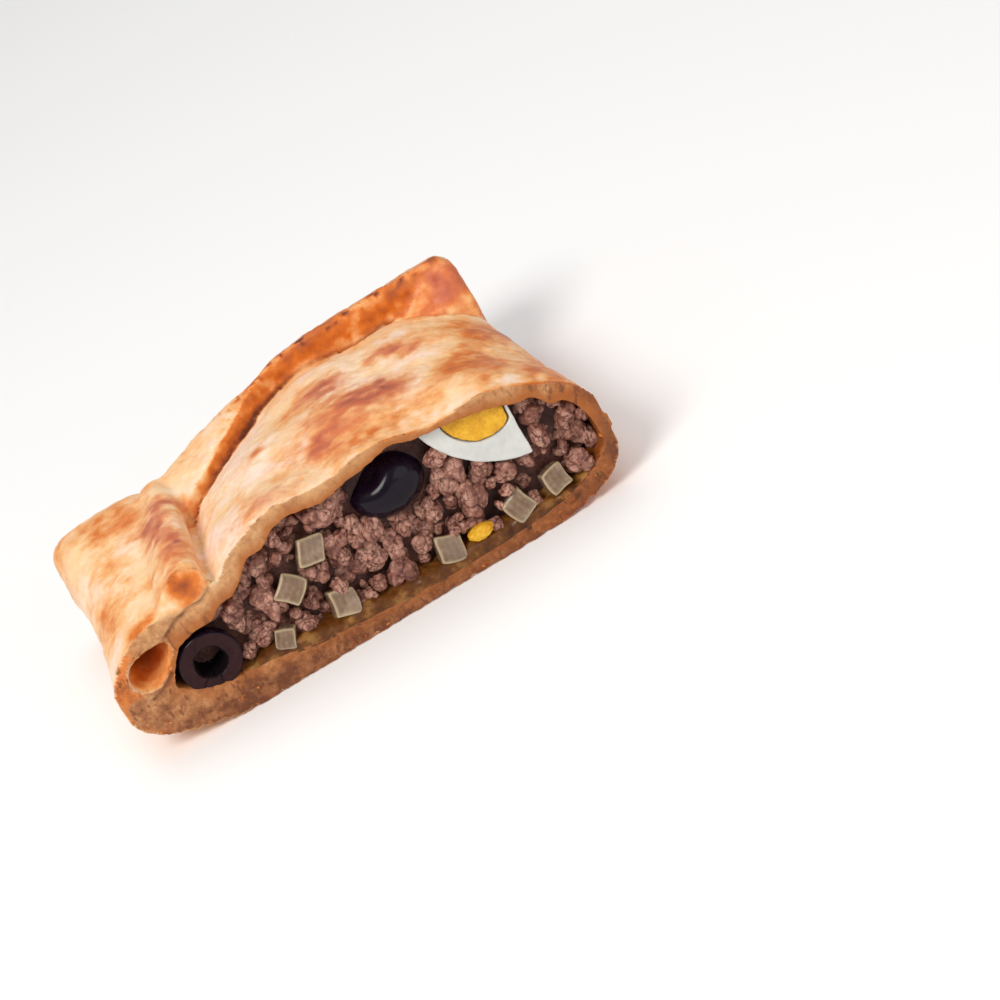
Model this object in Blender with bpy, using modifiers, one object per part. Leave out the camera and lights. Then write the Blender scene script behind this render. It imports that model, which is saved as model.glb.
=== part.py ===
"""Half of a baked empanada, cut across, standing on its flat base.

The square-folded pasty is a dough case round a filling of minced beef and onion, with olives and
egg.  The knife's face looks along -Y, +X is to the right of that face and +Z is up.  Lengths are
in metres.  Depth is measured from the knife's face towards the back.
"""

import math

import bmesh
import bpy
import numpy as np
from mathutils import Matrix, Vector

MM = 0.001

# The dough case
WIDTH = 119 * MM  # of the cut face, outside the dough
HEIGHT = 40 * MM  # of the mound at the cut face
DEPTH_LEFT = 66 * MM  # cut face to the back of the flap's corner
DEPTH_RIGHT = 84 * MM  # cut face to the back of the hem, on the right
WAIST = 6.8 * MM  # how far the right side draws in behind the cut
WAIST_LEFT = 2.3 * MM  # how far the left side does
RIM_HEIGHT = 16 * MM  # where the sides bulge out most
BASE_SUNK = 1.5 * MM  # how far the rounded underside is pressed flat by the tray
OVERRUN = 8 * MM  # dough in front of the cut face, taken off by the knife
BUMP = 1.1 * MM  # how far the lid rises and falls over the lumps of filling
BUMP_PITCH = 26 * MM
LID_LEFT = -53 * MM  # where the lid goes under the flap's side
TUCK = 4 * MM  # how far the lid is drawn down along the flap's free edge
HEM_LEFT = -44 * MM  # the hem starts under the flap
HEM_FRONT = 64.5 * MM  # depth of the front of the hem rolled along the back edge
HEM_TURN = 4 * MM  # left of here its front slants forward, towards the flap
HEM_SLANT = 0.86
HEM_TOP_LEFT = 30 * MM
HEM_TOP_RIGHT = 33.6 * MM
FLAP_SPAN = 30 * MM  # left side to the free edge of the side flap
FLAP_TOP = 30.3 * MM
FLAP_TILT = 0.17  # rise of the flap's top towards its free edge, per metre across
BEAD_RADIUS = 3.6 * MM  # the thick rolled lip along the flap's free edge
BEAD_SPREAD = 1.5  # half its width as a multiple of that radius
BEAD_TOP = 37.4 * MM  # at the cut face
BEAD_DROP = 8 * MM  # how much lower the lip is at the flap's corner
EAR_LEFT = 33 * MM  # tip of the corner that is folded over the hem's right end
EAR_RIGHT = 53.9 * MM
EAR_TOP = 31.8 * MM
POCKET_AT = (-49.4 * MM, 0, 20.6 * MM)  # the hollow in the flap's fold, open at the cut
POCKET_HALF = (5.2 * MM, 11 * MM, 4.2 * MM)
DOUGH_VOXEL = 1.3 * MM  # the folds are welded into one dough at this grain
DOUGH_KEPT = 0.08  # share of the welded faces that the finished dough keeps

# The hollow for the filling
FLOOR = 4.5 * MM  # dough under the filling
HOLLOW_LEFT = -46 * MM
HOLLOW_RIGHT = 56 * MM
HOLLOW_TOP = 36 * MM
HOLLOW_RIM = 12 * MM
HOLLOW_SHARE = 0.80  # of the depth that the hollow reaches
GAP = 0.3 * MM  # between neighbouring pieces

# What lies in the filling, placed by its centre across, its depth and its height
OLIVE_AT = (12.6 * MM, 6.6 * MM, 26.9 * MM)
OLIVE_RADIUS = 7.7 * MM
OLIVE_HALF_DEPTH = 6.2 * MM
OLIVE_SQUASH = 0.83  # height as a share of width
RING_AT = (-37.9 * MM, 0.3 * MM, 14.9 * MM)  # of the pitted olive that the knife went through
RING_RADIUS = 6.9 * MM
RING_BORE = 3.3 * MM
RING_DEPTH = 9.5 * MM
EGG_AT = (44.9 * MM, 0.9 * MM, 40.9 * MM)  # of the egg that the wedge was cut from
EGG_RADIUS = 23.5 * MM
EGG_HALF_DEPTH = 15 * MM
EGG_DEPTH = 9.5 * MM
EGG_RIGHT = 42.2 * MM  # the wedge ends here, in a straight side
EGG_LEAN = 6  # degrees that the wedge's face leans back
YOLK_AT = (36.3 * MM, 0.9 * MM, 34.4 * MM)
YOLK_RADIUS = 8.7 * MM
YOLK_HALF_DEPTH = 6.5 * MM
YOLK_MARGIN = 1.1 * MM  # of white between the yolk and the straight side
YOLK_BIT_AT = (24.5 * MM, 2.4 * MM, 7.4 * MM)
YOLK_BIT_HALF = (3.4 * MM, 2.2 * MM, 1.7 * MM)
ONION_SIDE = 5.8 * MM
# Across, height, depth of the face, share of the side, and turns about Y, X and Z in degrees
ONIONS = (
    (-8.8, 24.9, 0.5, 0.98, 22, 8, 10),
    (-16.3, 19.4, 0.4, 0.98, 45, 6, -8),
    (-8.4, 10.8, 1.2, 0.95, 16, 10, 14),
    (15.8, 10.0, 0.5, 1.05, 30, 5, 8),
    (33.4, 9.6, 0.7, 1.05, -20, 8, -6),
    (43.9, 10.6, 1.0, 0.92, 12, -6, 12),
    (-21.4, 9.2, 1.4, 0.90, 8, 4, -10),
)
HEAP_BEHIND = 2.6 * MM  # how far the valleys between its lumps lie behind the cut
LUMP_RELIEF = 2.0 * MM  # how far the lumps stand out from that
LUMP = 8.5 * MM  # the size of those lumps
LUMP_GRAIN = 3.1 * MM
DARK_AT = (12.5 * MM, 34 * MM)  # across and height of the gap round the whole olive
DARK_HALF = (11 * MM, 8 * MM)
DARK_DEPTH = 6 * MM
SEED = 7


def smooth_step(x):
    x = np.clip(x, 0.0, 1.0)
    return x * x * (3.0 - 2.0 * x)


def arch(x, power):
    """Height of a superellipse of half width 1 and height 1 at x."""
    return np.maximum(0.0, 1.0 - np.abs(x) ** power) ** (1.0 / power)


def across_share(x):
    return np.clip(x / WIDTH + 0.5, 0.0, 1.0)


def back_edge(x):
    """Depth of the hem's back: least at the flap's corner, then a quarter sine to the right."""
    return DEPTH_LEFT + (DEPTH_RIGHT - DEPTH_LEFT) * np.sin(across_share(x) * math.pi / 2)


def right_edge(depth):
    """The right side draws in behind the cut, in a smooth curve."""
    return WIDTH / 2 - WAIST * (1 - (1 - np.clip(depth / (0.8 * DEPTH_RIGHT), 0, 1)) ** 1.3)


def left_edge(depth):
    """The left side draws in behind the cut and flares again at the flap's corner."""
    return -WIDTH / 2 + WAIST_LEFT * np.sin(math.pi * np.clip(depth / (0.93 * DEPTH_LEFT), 0, 1))


def flap_free_edge(depth):
    """The flap's free edge swings out a little towards the corner."""
    swing = np.sin(math.pi * np.clip(depth / DEPTH_LEFT, 0, 1) ** 1.6)
    return -WIDTH / 2 + FLAP_SPAN + 2.2 * MM * swing


def lid_relief(x, depth):
    """The lid follows the lumps under it at the cut and is drawn down beside the flap."""
    wave = -np.cos(2 * math.pi * x / BUMP_PITCH) * np.exp(-np.maximum(depth, 0) / BUMP_PITCH)
    slant = 0.5 * np.cos(2 * math.pi * (x + 2.2 * depth) / (2.7 * BUMP_PITCH))
    beside = (x - flap_free_edge(depth) - 1.5 * MM) / (3.5 * MM)
    return BUMP * (wave + slant) - TUCK * np.exp(-beside ** 2)


def loop_angles(count):
    """Angles round a section, closer together where the sides turn."""
    turn = np.linspace(0.0, 2 * math.pi, count, endpoint=False)
    return turn - 0.18 * np.sin(2 * turn)


def signed_power(x, power):
    return np.sign(x) * np.abs(x) ** power


def depth_steps(along, start=-0.12):
    """Shares of the depth, from in front of the cut to the back, closer together there."""
    return np.concatenate([[start], np.sin(np.linspace(0, math.pi / 2, along))])


def body_rings(around, along):
    """Sections of the mound across the pasty, from in front of the cut to the hem.

    The lower half turns up to both sides; the upper half, the lid, starts under the flap and
    falls to the rim at the back.
    """
    turn = loop_angles(around)
    lower = np.sin(turn) < 0
    rings = []
    for t in depth_steps(along):
        back = max(t, 0.0)
        inner = DEPTH_RIGHT * 0.9 * t
        left = np.where(lower, left_edge(DEPTH_LEFT * t), LID_LEFT + 2 * MM * back)
        right = right_edge(inner) - 5 * MM * smooth_step((t - 0.75) / 0.25)
        right_soft = np.where(lower, 3.5, 2.9 - 0.5 * smooth_step(back / 0.35))
        softness = np.where(np.cos(turn) < 0, np.where(lower, 2.8, 2.1), right_soft)
        x = (left + right) / 2 + (right - left) / 2 * signed_power(np.cos(turn), 2 / softness)
        depth = (back_edge(x) - 8 * MM) * t
        high = signed_power(np.sin(turn), 2 / softness)
        fall = arch(back, 1.45 + 1.85 * smooth_step((x + 26 * MM) / (50 * MM)))
        top = RIM_HEIGHT + (HEIGHT - BUMP - RIM_HEIGHT) * high * fall
        bottom = RIM_HEIGHT + (RIM_HEIGHT + BASE_SUNK) * high * arch(back, 4.0)
        top = top + lid_relief(x, depth) * np.clip(high, 0, 1) * fall
        rings.append(np.stack([x, depth, np.where(lower, bottom, top)], axis=1))
    return np.array(rings)


def hem_front(x):
    """Front of the hem: along the back edge, then slanting forward under the flap."""
    short = HEM_TURN - x
    return HEM_FRONT - HEM_SLANT * 0.5 * (short + np.sqrt(short ** 2 + (5 * MM) ** 2))


def hem_rings(around, along):
    """The hem rolled along the back edge, from under the flap to the right corner.

    It lies wide and flat at the flap and is rolled up tighter and higher to the right.
    """
    turn = loop_angles(around)
    rings = []
    for t in np.linspace(0, 1, along):
        x = HEM_LEFT + t * (EAR_RIGHT - 1.5 * MM - HEM_LEFT)
        end = arch(2 * t - 1, 12.0)
        top = HEM_TOP_LEFT + (HEM_TOP_RIGHT - HEM_TOP_LEFT) * smooth_step((x + 30 * MM) / (38 * MM))
        front, rear = hem_front(x), back_edge(x)
        softness = np.where(np.cos(turn) < 0, 3.8, 2.4)
        softness = np.where(np.sin(turn) < 0, 3.0, softness)
        depth = (front + rear) / 2 + (rear - front) / 2 * signed_power(np.cos(turn), 2 / softness) * end
        centre = 0.45 * top
        high = signed_power(np.sin(turn), 2 / softness) * (0.7 + 0.3 * end)
        w = centre + high * np.where(high > 0, top - centre, centre + BASE_SUNK)
        rings.append(np.stack([np.full(around, x), depth, w], axis=1))
    return np.array(rings)


def ear_rings(around, along):
    """The corner folded over the hem's right end: a three-sided lump, pointed to the left."""
    turn = loop_angles(around)
    rings = []
    for t in depth_steps(along, start=0.0)[1:]:
        x = EAR_LEFT + t * (EAR_RIGHT - EAR_LEFT)
        end = arch(t, 7.0)
        front = HEM_FRONT + 4 * MM - 11.5 * MM * smooth_step(t / 0.5)
        rear = back_edge(x) - 7 * MM + 6.5 * MM * smooth_step(t / 0.5)
        top = 0.88 * EAR_TOP + 0.12 * EAR_TOP * smooth_step(t / 0.6)
        depth = (front + rear) / 2 + (rear - front) / 2 * signed_power(np.cos(turn), 0.8) * (0.4 + 0.6 * end)
        w = top / 2 + (top / 2 + BASE_SUNK) * signed_power(np.sin(turn), 0.8) * (0.5 + 0.5 * end)
        rings.append(np.stack([np.full(around, x), depth, w], axis=1))
    return np.array(rings)


def flap_rings(around, along):
    """The side flap folded over the mound; its underside is inside the mound."""
    turn = loop_angles(around)
    rings = []
    for t in depth_steps(along):
        depth = t * DEPTH_LEFT
        back = max(t, 0.0)
        end = arch(back, 9.0)
        left, right = left_edge(depth), flap_free_edge(depth)
        softness = np.where(np.cos(turn) < 0, 2.2 + 2.3 * back ** 2, 3.0)
        across = signed_power(np.cos(turn), 2 / softness) * (0.7 + 0.3 * end)
        high = signed_power(np.sin(turn), 2 / softness)
        x = (left + right) / 2 + (right - left) / 2 * across
        top = (FLAP_TOP - 0.7 * MM * back - RIM_HEIGHT) * high * end
        top = top + FLAP_TILT * (1 - 0.8 * back) * (x - (left + right) / 2) * np.clip(high, 0, 1)
        foot = 8 * MM + 8 * MM * smooth_step((back - 0.8) / 0.2)
        z = RIM_HEIGHT + np.where(high > 0, top, foot * high * end)
        rings.append(np.stack([x, np.full(around, depth), z], axis=1))
    return np.array(rings)


def bead_rings(around, along):
    """The thick lip rolled along the flap's free edge, lowest and thinnest at the corner."""
    turn = np.linspace(0, 2 * math.pi, around, endpoint=False)
    rings = []
    for t in np.linspace(-0.1, 1.0, along):
        back = max(t, 0.0)
        depth = t * (DEPTH_LEFT - 7 * MM)
        radius = BEAD_RADIUS * (0.4 + 0.6 * arch(back, 3.0))
        x = flap_free_edge(depth) + BEAD_SPREAD * radius * (np.cos(turn) - 1)
        z = BEAD_TOP - BEAD_DROP * back - radius + radius * np.sin(turn)
        rings.append(np.stack([x, np.full(around, depth), z], axis=1))
    return np.array(rings)


def hollow_rings(around, along, inset=0.0):
    """Sections of the space for the filling, drawn in all round by inset."""
    turn = loop_angles(around)
    front = -OVERRUN / DEPTH_LEFT if inset == 0 else 0.0
    rings = []
    for t in np.concatenate([[front], np.sin(np.linspace(0.05, math.pi / 2, along))]):
        left, right = HOLLOW_LEFT + inset, HOLLOW_RIGHT - inset - 6 * MM * smooth_step(t)
        softness = np.where(np.cos(turn) < 0, 1.7, 2.6)
        softness = np.where(np.sin(turn) < 0, 3.0, softness)
        x = (left + right) / 2 + (right - left) / 2 * signed_power(np.cos(turn), 2 / softness)
        depth = (back_edge(x) * HOLLOW_SHARE - inset) * t
        high = signed_power(np.sin(turn), 2 / softness)
        fall = arch(max(t, 0.0), 2.4)
        top = HOLLOW_RIM + (HOLLOW_TOP - inset - HOLLOW_RIM) * high * fall
        wave = -np.cos(2 * math.pi * x / BUMP_PITCH)
        top = top + BUMP * wave * np.clip(high, 0, 1) * fall ** 3
        bottom = HOLLOW_RIM + (HOLLOW_RIM - FLOOR - inset) * high * fall
        rings.append(np.stack([x, depth, np.where(high > 0, top, bottom)], axis=1))
    return np.array(rings)


def lumps(x, z):
    """Rounded lumps side by side: how near each point is to the middle of its lump, 0 to 1."""
    draw = np.random.default_rng(SEED)
    columns, rows = int(WIDTH / LUMP) + 1, int(HEIGHT / LUMP) + 1
    column, row = np.meshgrid(np.arange(columns), np.arange(rows))
    across = (column + 0.5 * (row % 2) - columns / 2) * LUMP
    middles = np.stack([across.ravel(), row.ravel() * LUMP], axis=1)
    middles = middles + draw.uniform(-0.22, 0.22, middles.shape) * LUMP
    gap = np.hypot(x[..., None] - middles[:, 0], z[..., None] - middles[:, 1]).min(axis=-1)
    return np.sqrt(np.maximum(0.0, 1.0 - (gap / (0.62 * LUMP)) ** 2))


def heap_face(x, z):
    """How far the filling's face lies behind the cut."""
    gap = ((x - DARK_AT[0]) / DARK_HALF[0]) ** 2 + ((z - DARK_AT[1]) / DARK_HALF[1]) ** 2
    return HEAP_BEHIND - LUMP_RELIEF * lumps(x, z) + DARK_DEPTH * np.exp(-gap ** 1.5)


def turned_rings(profile, around, at, squash=1.0):
    """Rings about an axis along the depth, from pairs of radius and depth."""
    turn = np.linspace(0, 2 * math.pi, around, endpoint=False)
    circle = np.stack([np.cos(turn), np.zeros(around), squash * np.sin(turn)], axis=1)
    return np.array([np.array(at) + radius * circle + (0, depth, 0) for radius, depth in profile])


def dome(radius, half_depth, stop=0.47 * math.pi, start=0.0, count=8):
    """Profile of an ellipsoid from its middle (or from start) to the back."""
    steps = np.linspace(start, stop, count)
    return [(radius * math.cos(a), half_depth * math.sin(a)) for a in steps]


def skin(rings, faces, points):
    """Adds the quads between rings, with a many-sided cap on the first and a seam at the last."""
    count, around = rings.shape[:2]
    start = sum(len(p) for p in points)
    index = start + np.arange(count * around).reshape(count, around)
    near, far = index[:-1], index[1:]
    quads = np.stack([near, far, np.roll(far, -1, 1), np.roll(near, -1, 1)], axis=-1)
    points.append(rings.reshape(-1, 3))
    faces += quads.reshape(-1, 4).tolist()
    faces += [index[0].tolist(), index[-1][::-1].tolist()]


def object_from(name, collection, form):
    """An object from a bmesh, its doubles merged and its faces turned out."""
    bmesh.ops.remove_doubles(form, verts=form.verts[:], dist=0.02 * MM)
    bmesh.ops.recalc_face_normals(form, faces=form.faces[:])
    if form.calc_volume(signed=True) < 0:
        bmesh.ops.reverse_faces(form, faces=form.faces[:])
    mesh = bpy.data.meshes.new(name)
    form.to_mesh(mesh)
    form.free()
    made = bpy.data.objects.new(name, mesh)
    collection.objects.link(made)
    return made


def mesh_object(name, collection, points, faces):
    mesh = bpy.data.meshes.new(name)
    mesh.from_pydata(np.concatenate(points).tolist(), [], faces)
    form = bmesh.new()
    form.from_mesh(mesh)
    bpy.data.meshes.remove(mesh)
    return object_from(name, collection, form)


def lofted(name, collection, rings):
    points, faces = [], []
    skin(rings, faces, points)
    return mesh_object(name, collection, points, faces)


def ellipsoid(name, collection, centre, half, segments, rings):
    form = bmesh.new()
    placed = Matrix.Translation(centre) @ Matrix.Diagonal((*half, 1.0))
    bmesh.ops.create_uvsphere(form, u_segments=segments, v_segments=rings, radius=1.0, matrix=placed)
    return object_from(name, collection, form)


def box(name, collection, low, high):
    form = bmesh.new()
    low, high = Vector(low), Vector(high)
    placed = Matrix.Translation((low + high) / 2) @ Matrix.Diagonal((*(high - low), 1.0))
    bmesh.ops.create_cube(form, size=1.0, matrix=placed)
    return object_from(name, collection, form)


def hide(made):
    made.hide_render = True
    made.display_type = "WIRE"


def cut(made, cutter, operation="DIFFERENCE"):
    modifier = made.modifiers.new(f"{operation.lower()}_{cutter.name}", "BOOLEAN")
    modifier.operation = operation
    modifier.object = cutter
    hide(cutter)


def material(name, colour, roughness):
    made = bpy.data.materials.new(name)
    made.use_nodes = True
    shader = made.node_tree.nodes["Principled BSDF"]
    shader.inputs["Base Color"].default_value = (*colour, 1.0)
    shader.inputs["Roughness"].default_value = roughness
    shader.inputs["Metallic"].default_value = 0.0
    return made


def finish(made, look):
    made.data.materials.append(look)


def make_crust(parts, cutters):
    """Mound, hem, flap and corner, welded into one dough, then hollowed and cut."""
    points, faces = [], []
    folds = (body_rings(72, 26), hem_rings(32, 30), flap_rings(32, 22), bead_rings(14, 24), ear_rings(24, 12))
    for rings in folds:
        skin(rings, faces, points)
    crust = mesh_object("crust", parts, points, faces)
    weld = crust.modifiers.new("weld", "REMESH")
    weld.mode = "VOXEL"
    weld.voxel_size = DOUGH_VOXEL
    soften = crust.modifiers.new("soften", "SMOOTH")
    soften.factor = 0.5
    soften.iterations = 2
    thin = crust.modifiers.new("thin", "DECIMATE")
    thin.ratio = DOUGH_KEPT
    cut(crust, lofted("hollow", cutters, hollow_rings(44, 11)))
    side = 2 * WIDTH
    cut(crust, box("knife", cutters, (-side, -side, -side), (side, 0, side)))
    cut(crust, box("tray", cutters, (-side, -side, -side), (side, side, 0)))
    pocket = ellipsoid("flap_pocket", cutters, (0, 0, 0), POCKET_HALF, 16, 10)
    pocket.data.transform(Matrix.Translation(POCKET_AT) @ Matrix.Rotation(math.radians(-28), 4, "Y"))
    cut(crust, pocket)
    return crust


def seat(name, collection, at, radius, half_depth, squash=1.0, stop=0.47 * math.pi):
    """The room for a rounded piece, a gap wider than it and open to the front."""
    profile = [(radius + GAP, -OVERRUN), *dome(radius + GAP, half_depth + GAP, stop)]
    return lofted(name, collection, turned_rings(profile, 28, at, squash))


def make_whole_olive(parts):
    profile = dome(OLIVE_RADIUS, OLIVE_HALF_DEPTH, start=-0.47 * math.pi, count=11)
    return lofted("olive_whole", parts, turned_rings(profile, 22, OLIVE_AT, OLIVE_SQUASH))


def make_olive_ring(parts):
    """A pitted olive cut across: a blind bore, the cut face and the skin back to its end."""
    bore = [(0.02 * RING_BORE, 0.7 * RING_DEPTH), (0.8 * RING_BORE, 0.65 * RING_DEPTH)]
    profile = [*bore, (RING_BORE, 0), *dome(RING_RADIUS, RING_DEPTH, count=7)]
    return lofted("olive_ring", parts, turned_rings(profile, 24, RING_AT))


def lean_back(made):
    """Leans a piece of the egg back about the foot of the wedge."""
    foot = Vector((EGG_AT[0], EGG_AT[1], EGG_AT[2] - EGG_RADIUS))
    lean = Matrix.Rotation(math.radians(-EGG_LEAN), 4, "X")
    made.data.transform(Matrix.Translation(foot) @ lean @ Matrix.Translation(-foot))
    return made


def keep_left_of(made, right, cutters):
    """Cuts a piece of the egg off along the wedge's straight side."""
    far = 2 * WIDTH
    cut(made, lean_back(box(f"{made.name}_side", cutters, (right, -far, -far), (far, far, far))))


def make_egg(parts, cutters, space):
    """The wedge's white and its yolk, both trimmed to the space inside the dough."""
    stop = math.asin(EGG_DEPTH / EGG_HALF_DEPTH)
    white_profile = dome(EGG_RADIUS, EGG_HALF_DEPTH, stop, count=4)
    white = lofted("egg_white", parts, turned_rings(white_profile, 60, EGG_AT))
    yolk = lofted("egg_yolk", parts, turned_rings(dome(YOLK_RADIUS, YOLK_HALF_DEPTH), 28, YOLK_AT))
    yolk_seat = seat("yolk_seat", cutters, YOLK_AT, YOLK_RADIUS, YOLK_HALF_DEPTH)
    for piece in (white, yolk, yolk_seat):
        lean_back(piece)
    keep_left_of(white, EGG_RIGHT, cutters)
    keep_left_of(yolk, EGG_RIGHT - YOLK_MARGIN, cutters)
    keep_left_of(yolk_seat, EGG_RIGHT - YOLK_MARGIN + GAP, cutters)
    cut(white, yolk_seat)
    for piece in (white, yolk):
        cut(piece, space, "INTERSECT")
    return white, yolk


def make_onion(name, collection, place, extra=0.0, forward=0.0):
    """A dice of onion; its room in the filling is a gap wider and open to the front."""
    across, height, face, share, *turns = place
    half = 0.5 * share * ONION_SIDE
    about_y, about_x, about_z = (
        Matrix.Rotation(math.radians(turn), 4, axis) for turn, axis in zip(turns, "YXZ"))
    size = half + extra
    dice = box(name, collection, (-size, -size - forward, -size), (size, size, size))
    centre = Vector((across * MM, face * MM + half, height * MM))
    dice.data.transform(Matrix.Translation(centre) @ about_z @ about_x @ about_y)
    if not forward:
        dice.modifiers.new("edge", "BEVEL").width = 0.5 * MM
    return dice


def make_front(cutters):
    """Everything in front of the filling's lumpy face, as one block."""
    across = np.arange(-0.6 * WIDTH, 0.6 * WIDTH, LUMP_GRAIN)
    height = np.arange(-0.25 * HEIGHT, 1.25 * HEIGHT, LUMP_GRAIN)
    x, z = np.meshgrid(across, height)
    face = np.stack([x, heap_face(x, z), z], axis=-1)
    front = face.copy()
    front[..., 1] = -2 * OVERRUN
    rows, columns = x.shape
    index = np.arange(rows * columns).reshape(rows, columns)
    quads = np.stack([index[:-1, :-1], index[:-1, 1:], index[1:, 1:], index[1:, :-1]], -1).reshape(-1, 4)
    ends = [index[0], index[:, -1], index[-1, ::-1], index[::-1, 0]]
    border = np.concatenate([line[:-1] for line in ends])
    ahead = border + rows * columns
    walls = np.stack([border, ahead, np.roll(ahead, -1), np.roll(border, -1)], axis=-1)
    faces = quads.tolist() + walls.tolist() + (quads[:, ::-1] + rows * columns).tolist()
    return mesh_object("front", cutters, [face.reshape(-1, 3), front.reshape(-1, 3)], faces)


def make_filling(parts, cutters):
    """The heap of mince: its lumpy face, less the room for the pieces that lie in it."""
    heap = lofted("filling", parts, hollow_rings(44, 11, inset=GAP))
    cut(heap, make_front(cutters))
    cut(heap, seat("olive_seat", cutters, OLIVE_AT, OLIVE_RADIUS, OLIVE_HALF_DEPTH, OLIVE_SQUASH))
    cut(heap, seat("filling_ring_seat", cutters, RING_AT, RING_RADIUS, RING_DEPTH))
    stop = math.asin(EGG_DEPTH / EGG_HALF_DEPTH)
    egg_seat = lean_back(seat("egg_seat", cutters, EGG_AT, EGG_RADIUS, EGG_HALF_DEPTH, stop=stop))
    keep_left_of(egg_seat, EGG_RIGHT + GAP, cutters)
    cut(heap, egg_seat)
    bit_half = [half + GAP for half in YOLK_BIT_HALF]
    cut(heap, ellipsoid("yolk_bit_seat", cutters, YOLK_BIT_AT, bit_half, 14, 8))
    for number, place in enumerate(ONIONS, start=1):
        cut(heap, make_onion(f"onion_seat_{number}", cutters, place, GAP, OVERRUN))
    return heap


def centre_on_origin(parts, collections):
    """Moves everything so that the middle of the finished pieces' box is over the origin."""
    bpy.context.view_layer.update()
    graph = bpy.context.evaluated_depsgraph_get()
    corners = [Vector(c) for made in parts.objects for c in made.evaluated_get(graph).bound_box]
    low = [min(c[axis] for c in corners) for axis in range(3)]
    high = [max(c[axis] for c in corners) for axis in range(3)]
    shift = Vector((-(low[0] + high[0]) / 2, -(low[1] + high[1]) / 2, -low[2]))
    for collection in collections:
        for made in collection.all_objects:
            made.location += shift


def main():
    for old in list(bpy.data.objects):
        bpy.data.objects.remove(old)
    parts = bpy.data.collections.new("empanada_half")
    cutters = bpy.data.collections.new("cutters")
    for collection in (parts, cutters):
        bpy.context.scene.collection.children.link(collection)
    dough = material("baked_dough", (0.84, 0.50, 0.25), 0.5)
    mince = material("cooked_mince", (0.26, 0.12, 0.09), 0.6)
    black = material("black_olive", (0.03, 0.018, 0.025), 0.25)
    white = material("boiled_egg_white", (0.82, 0.80, 0.72), 0.35)
    yolk = material("boiled_egg_yolk", (0.80, 0.44, 0.03), 0.6)
    onion = material("cooked_onion", (0.42, 0.30, 0.17), 0.3)
    space = lofted("heap_space", cutters, hollow_rings(44, 11, inset=GAP))
    crust = make_crust(parts, cutters)
    cut(crust, seat("crust_ring_seat", cutters, RING_AT, RING_RADIUS, RING_DEPTH))
    finish(crust, dough)
    finish(make_filling(parts, cutters), mince)
    finish(make_whole_olive(parts), black)
    finish(make_olive_ring(parts), black)
    egg_white, egg_yolk = make_egg(parts, cutters, space)
    finish(egg_white, white)
    finish(egg_yolk, yolk)
    finish(ellipsoid("yolk_bit", parts, YOLK_BIT_AT, YOLK_BIT_HALF, 14, 8), yolk)
    for number, place in enumerate(ONIONS, start=1):
        finish(make_onion(f"onion_dice_{number:02d}", parts, place), onion)
    centre_on_origin(parts, (parts, cutters))


main()
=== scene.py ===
import math

import bmesh
import bpy
import numpy as np
from mathutils import Matrix, Vector


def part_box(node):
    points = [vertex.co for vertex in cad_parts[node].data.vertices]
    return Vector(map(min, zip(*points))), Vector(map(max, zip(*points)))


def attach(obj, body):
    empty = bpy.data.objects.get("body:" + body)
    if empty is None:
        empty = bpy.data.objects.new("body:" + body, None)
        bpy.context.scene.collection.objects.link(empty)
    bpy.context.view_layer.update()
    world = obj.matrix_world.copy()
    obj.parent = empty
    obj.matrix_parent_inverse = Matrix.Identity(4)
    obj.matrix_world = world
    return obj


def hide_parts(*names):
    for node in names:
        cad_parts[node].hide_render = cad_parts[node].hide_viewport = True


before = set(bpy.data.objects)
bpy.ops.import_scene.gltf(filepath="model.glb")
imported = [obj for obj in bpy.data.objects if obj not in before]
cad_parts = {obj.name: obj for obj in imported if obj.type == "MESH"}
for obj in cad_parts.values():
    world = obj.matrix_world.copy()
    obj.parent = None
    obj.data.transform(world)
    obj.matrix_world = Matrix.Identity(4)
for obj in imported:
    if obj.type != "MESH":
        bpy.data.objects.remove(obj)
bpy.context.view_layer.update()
mm = 0.001
caseLow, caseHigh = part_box("crust")
cutY = caseLow.y  # the knife's face; depth is measured from it towards the back
caseWidth = caseHigh.x - caseLow.x
caseHeight = caseHigh.z - caseLow.z
caseDepth = caseHigh.y - caseLow.y


def smoothStep(x):
    # an S-shaped step: 0 up to 0, 1 from 1 on, 3x^2 - 2x^3 between
    x = np.clip(x, 0.0, 1.0)
    return x * x * (3.0 - 2.0 * x)


def rise(x, start, width):
    # 0 up to start and 1 from start + width on; x is in metres, the other two in millimetres
    return smoothStep((x / mm - start) / width)


def drop(x, end, width):
    # the mirror of rise: 1 up to end - width and 0 from end on
    return smoothStep((end - x / mm) / width)


def bell(distance):
    # exp(-d^2)
    return np.exp(-distance ** 2)


def ridge(x, place, width):
    # a bell that stands at that place; x is in metres, the other two in millimetres
    return bell((x / mm - place) / width)


def arch(x, power):
    # height of a superellipse of half width 1 and height 1, at x
    return np.maximum(0.0, 1.0 - np.abs(x) ** power) ** (1.0 / power)


def signedPower(x, power):
    # |x| to the power, with the sign of x
    return np.sign(x) * np.abs(x) ** power


def between(ends, share):
    # from the first of two values to the second
    return ends[0] + (ends[1] - ends[0]) * share


def readTable(table, x, column=1):
    # straight lines between the rows of a table whose first column is the place across
    rows = np.array(table)
    return np.interp(x / mm, rows[:, 0], rows[:, column])


def softNoise(points, size, seed):
    # random heights on a grid of that size, eased from corner to corner, between -1 and 1
    heights = np.random.default_rng(seed).uniform(-1, 1, (32, 32, 32))
    scaled = points / size + 100.0
    cell = np.floor(scaled).astype(int)
    ease = smoothStep(scaled - cell)
    total = np.zeros(len(points))
    for corner in np.ndindex(2, 2, 2):
        at = (cell + corner) % 32
        weight = np.prod(np.where(corner, ease, 1 - ease), axis=1)
        total += weight * heights[at[:, 0], at[:, 1], at[:, 2]]
    return total


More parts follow.
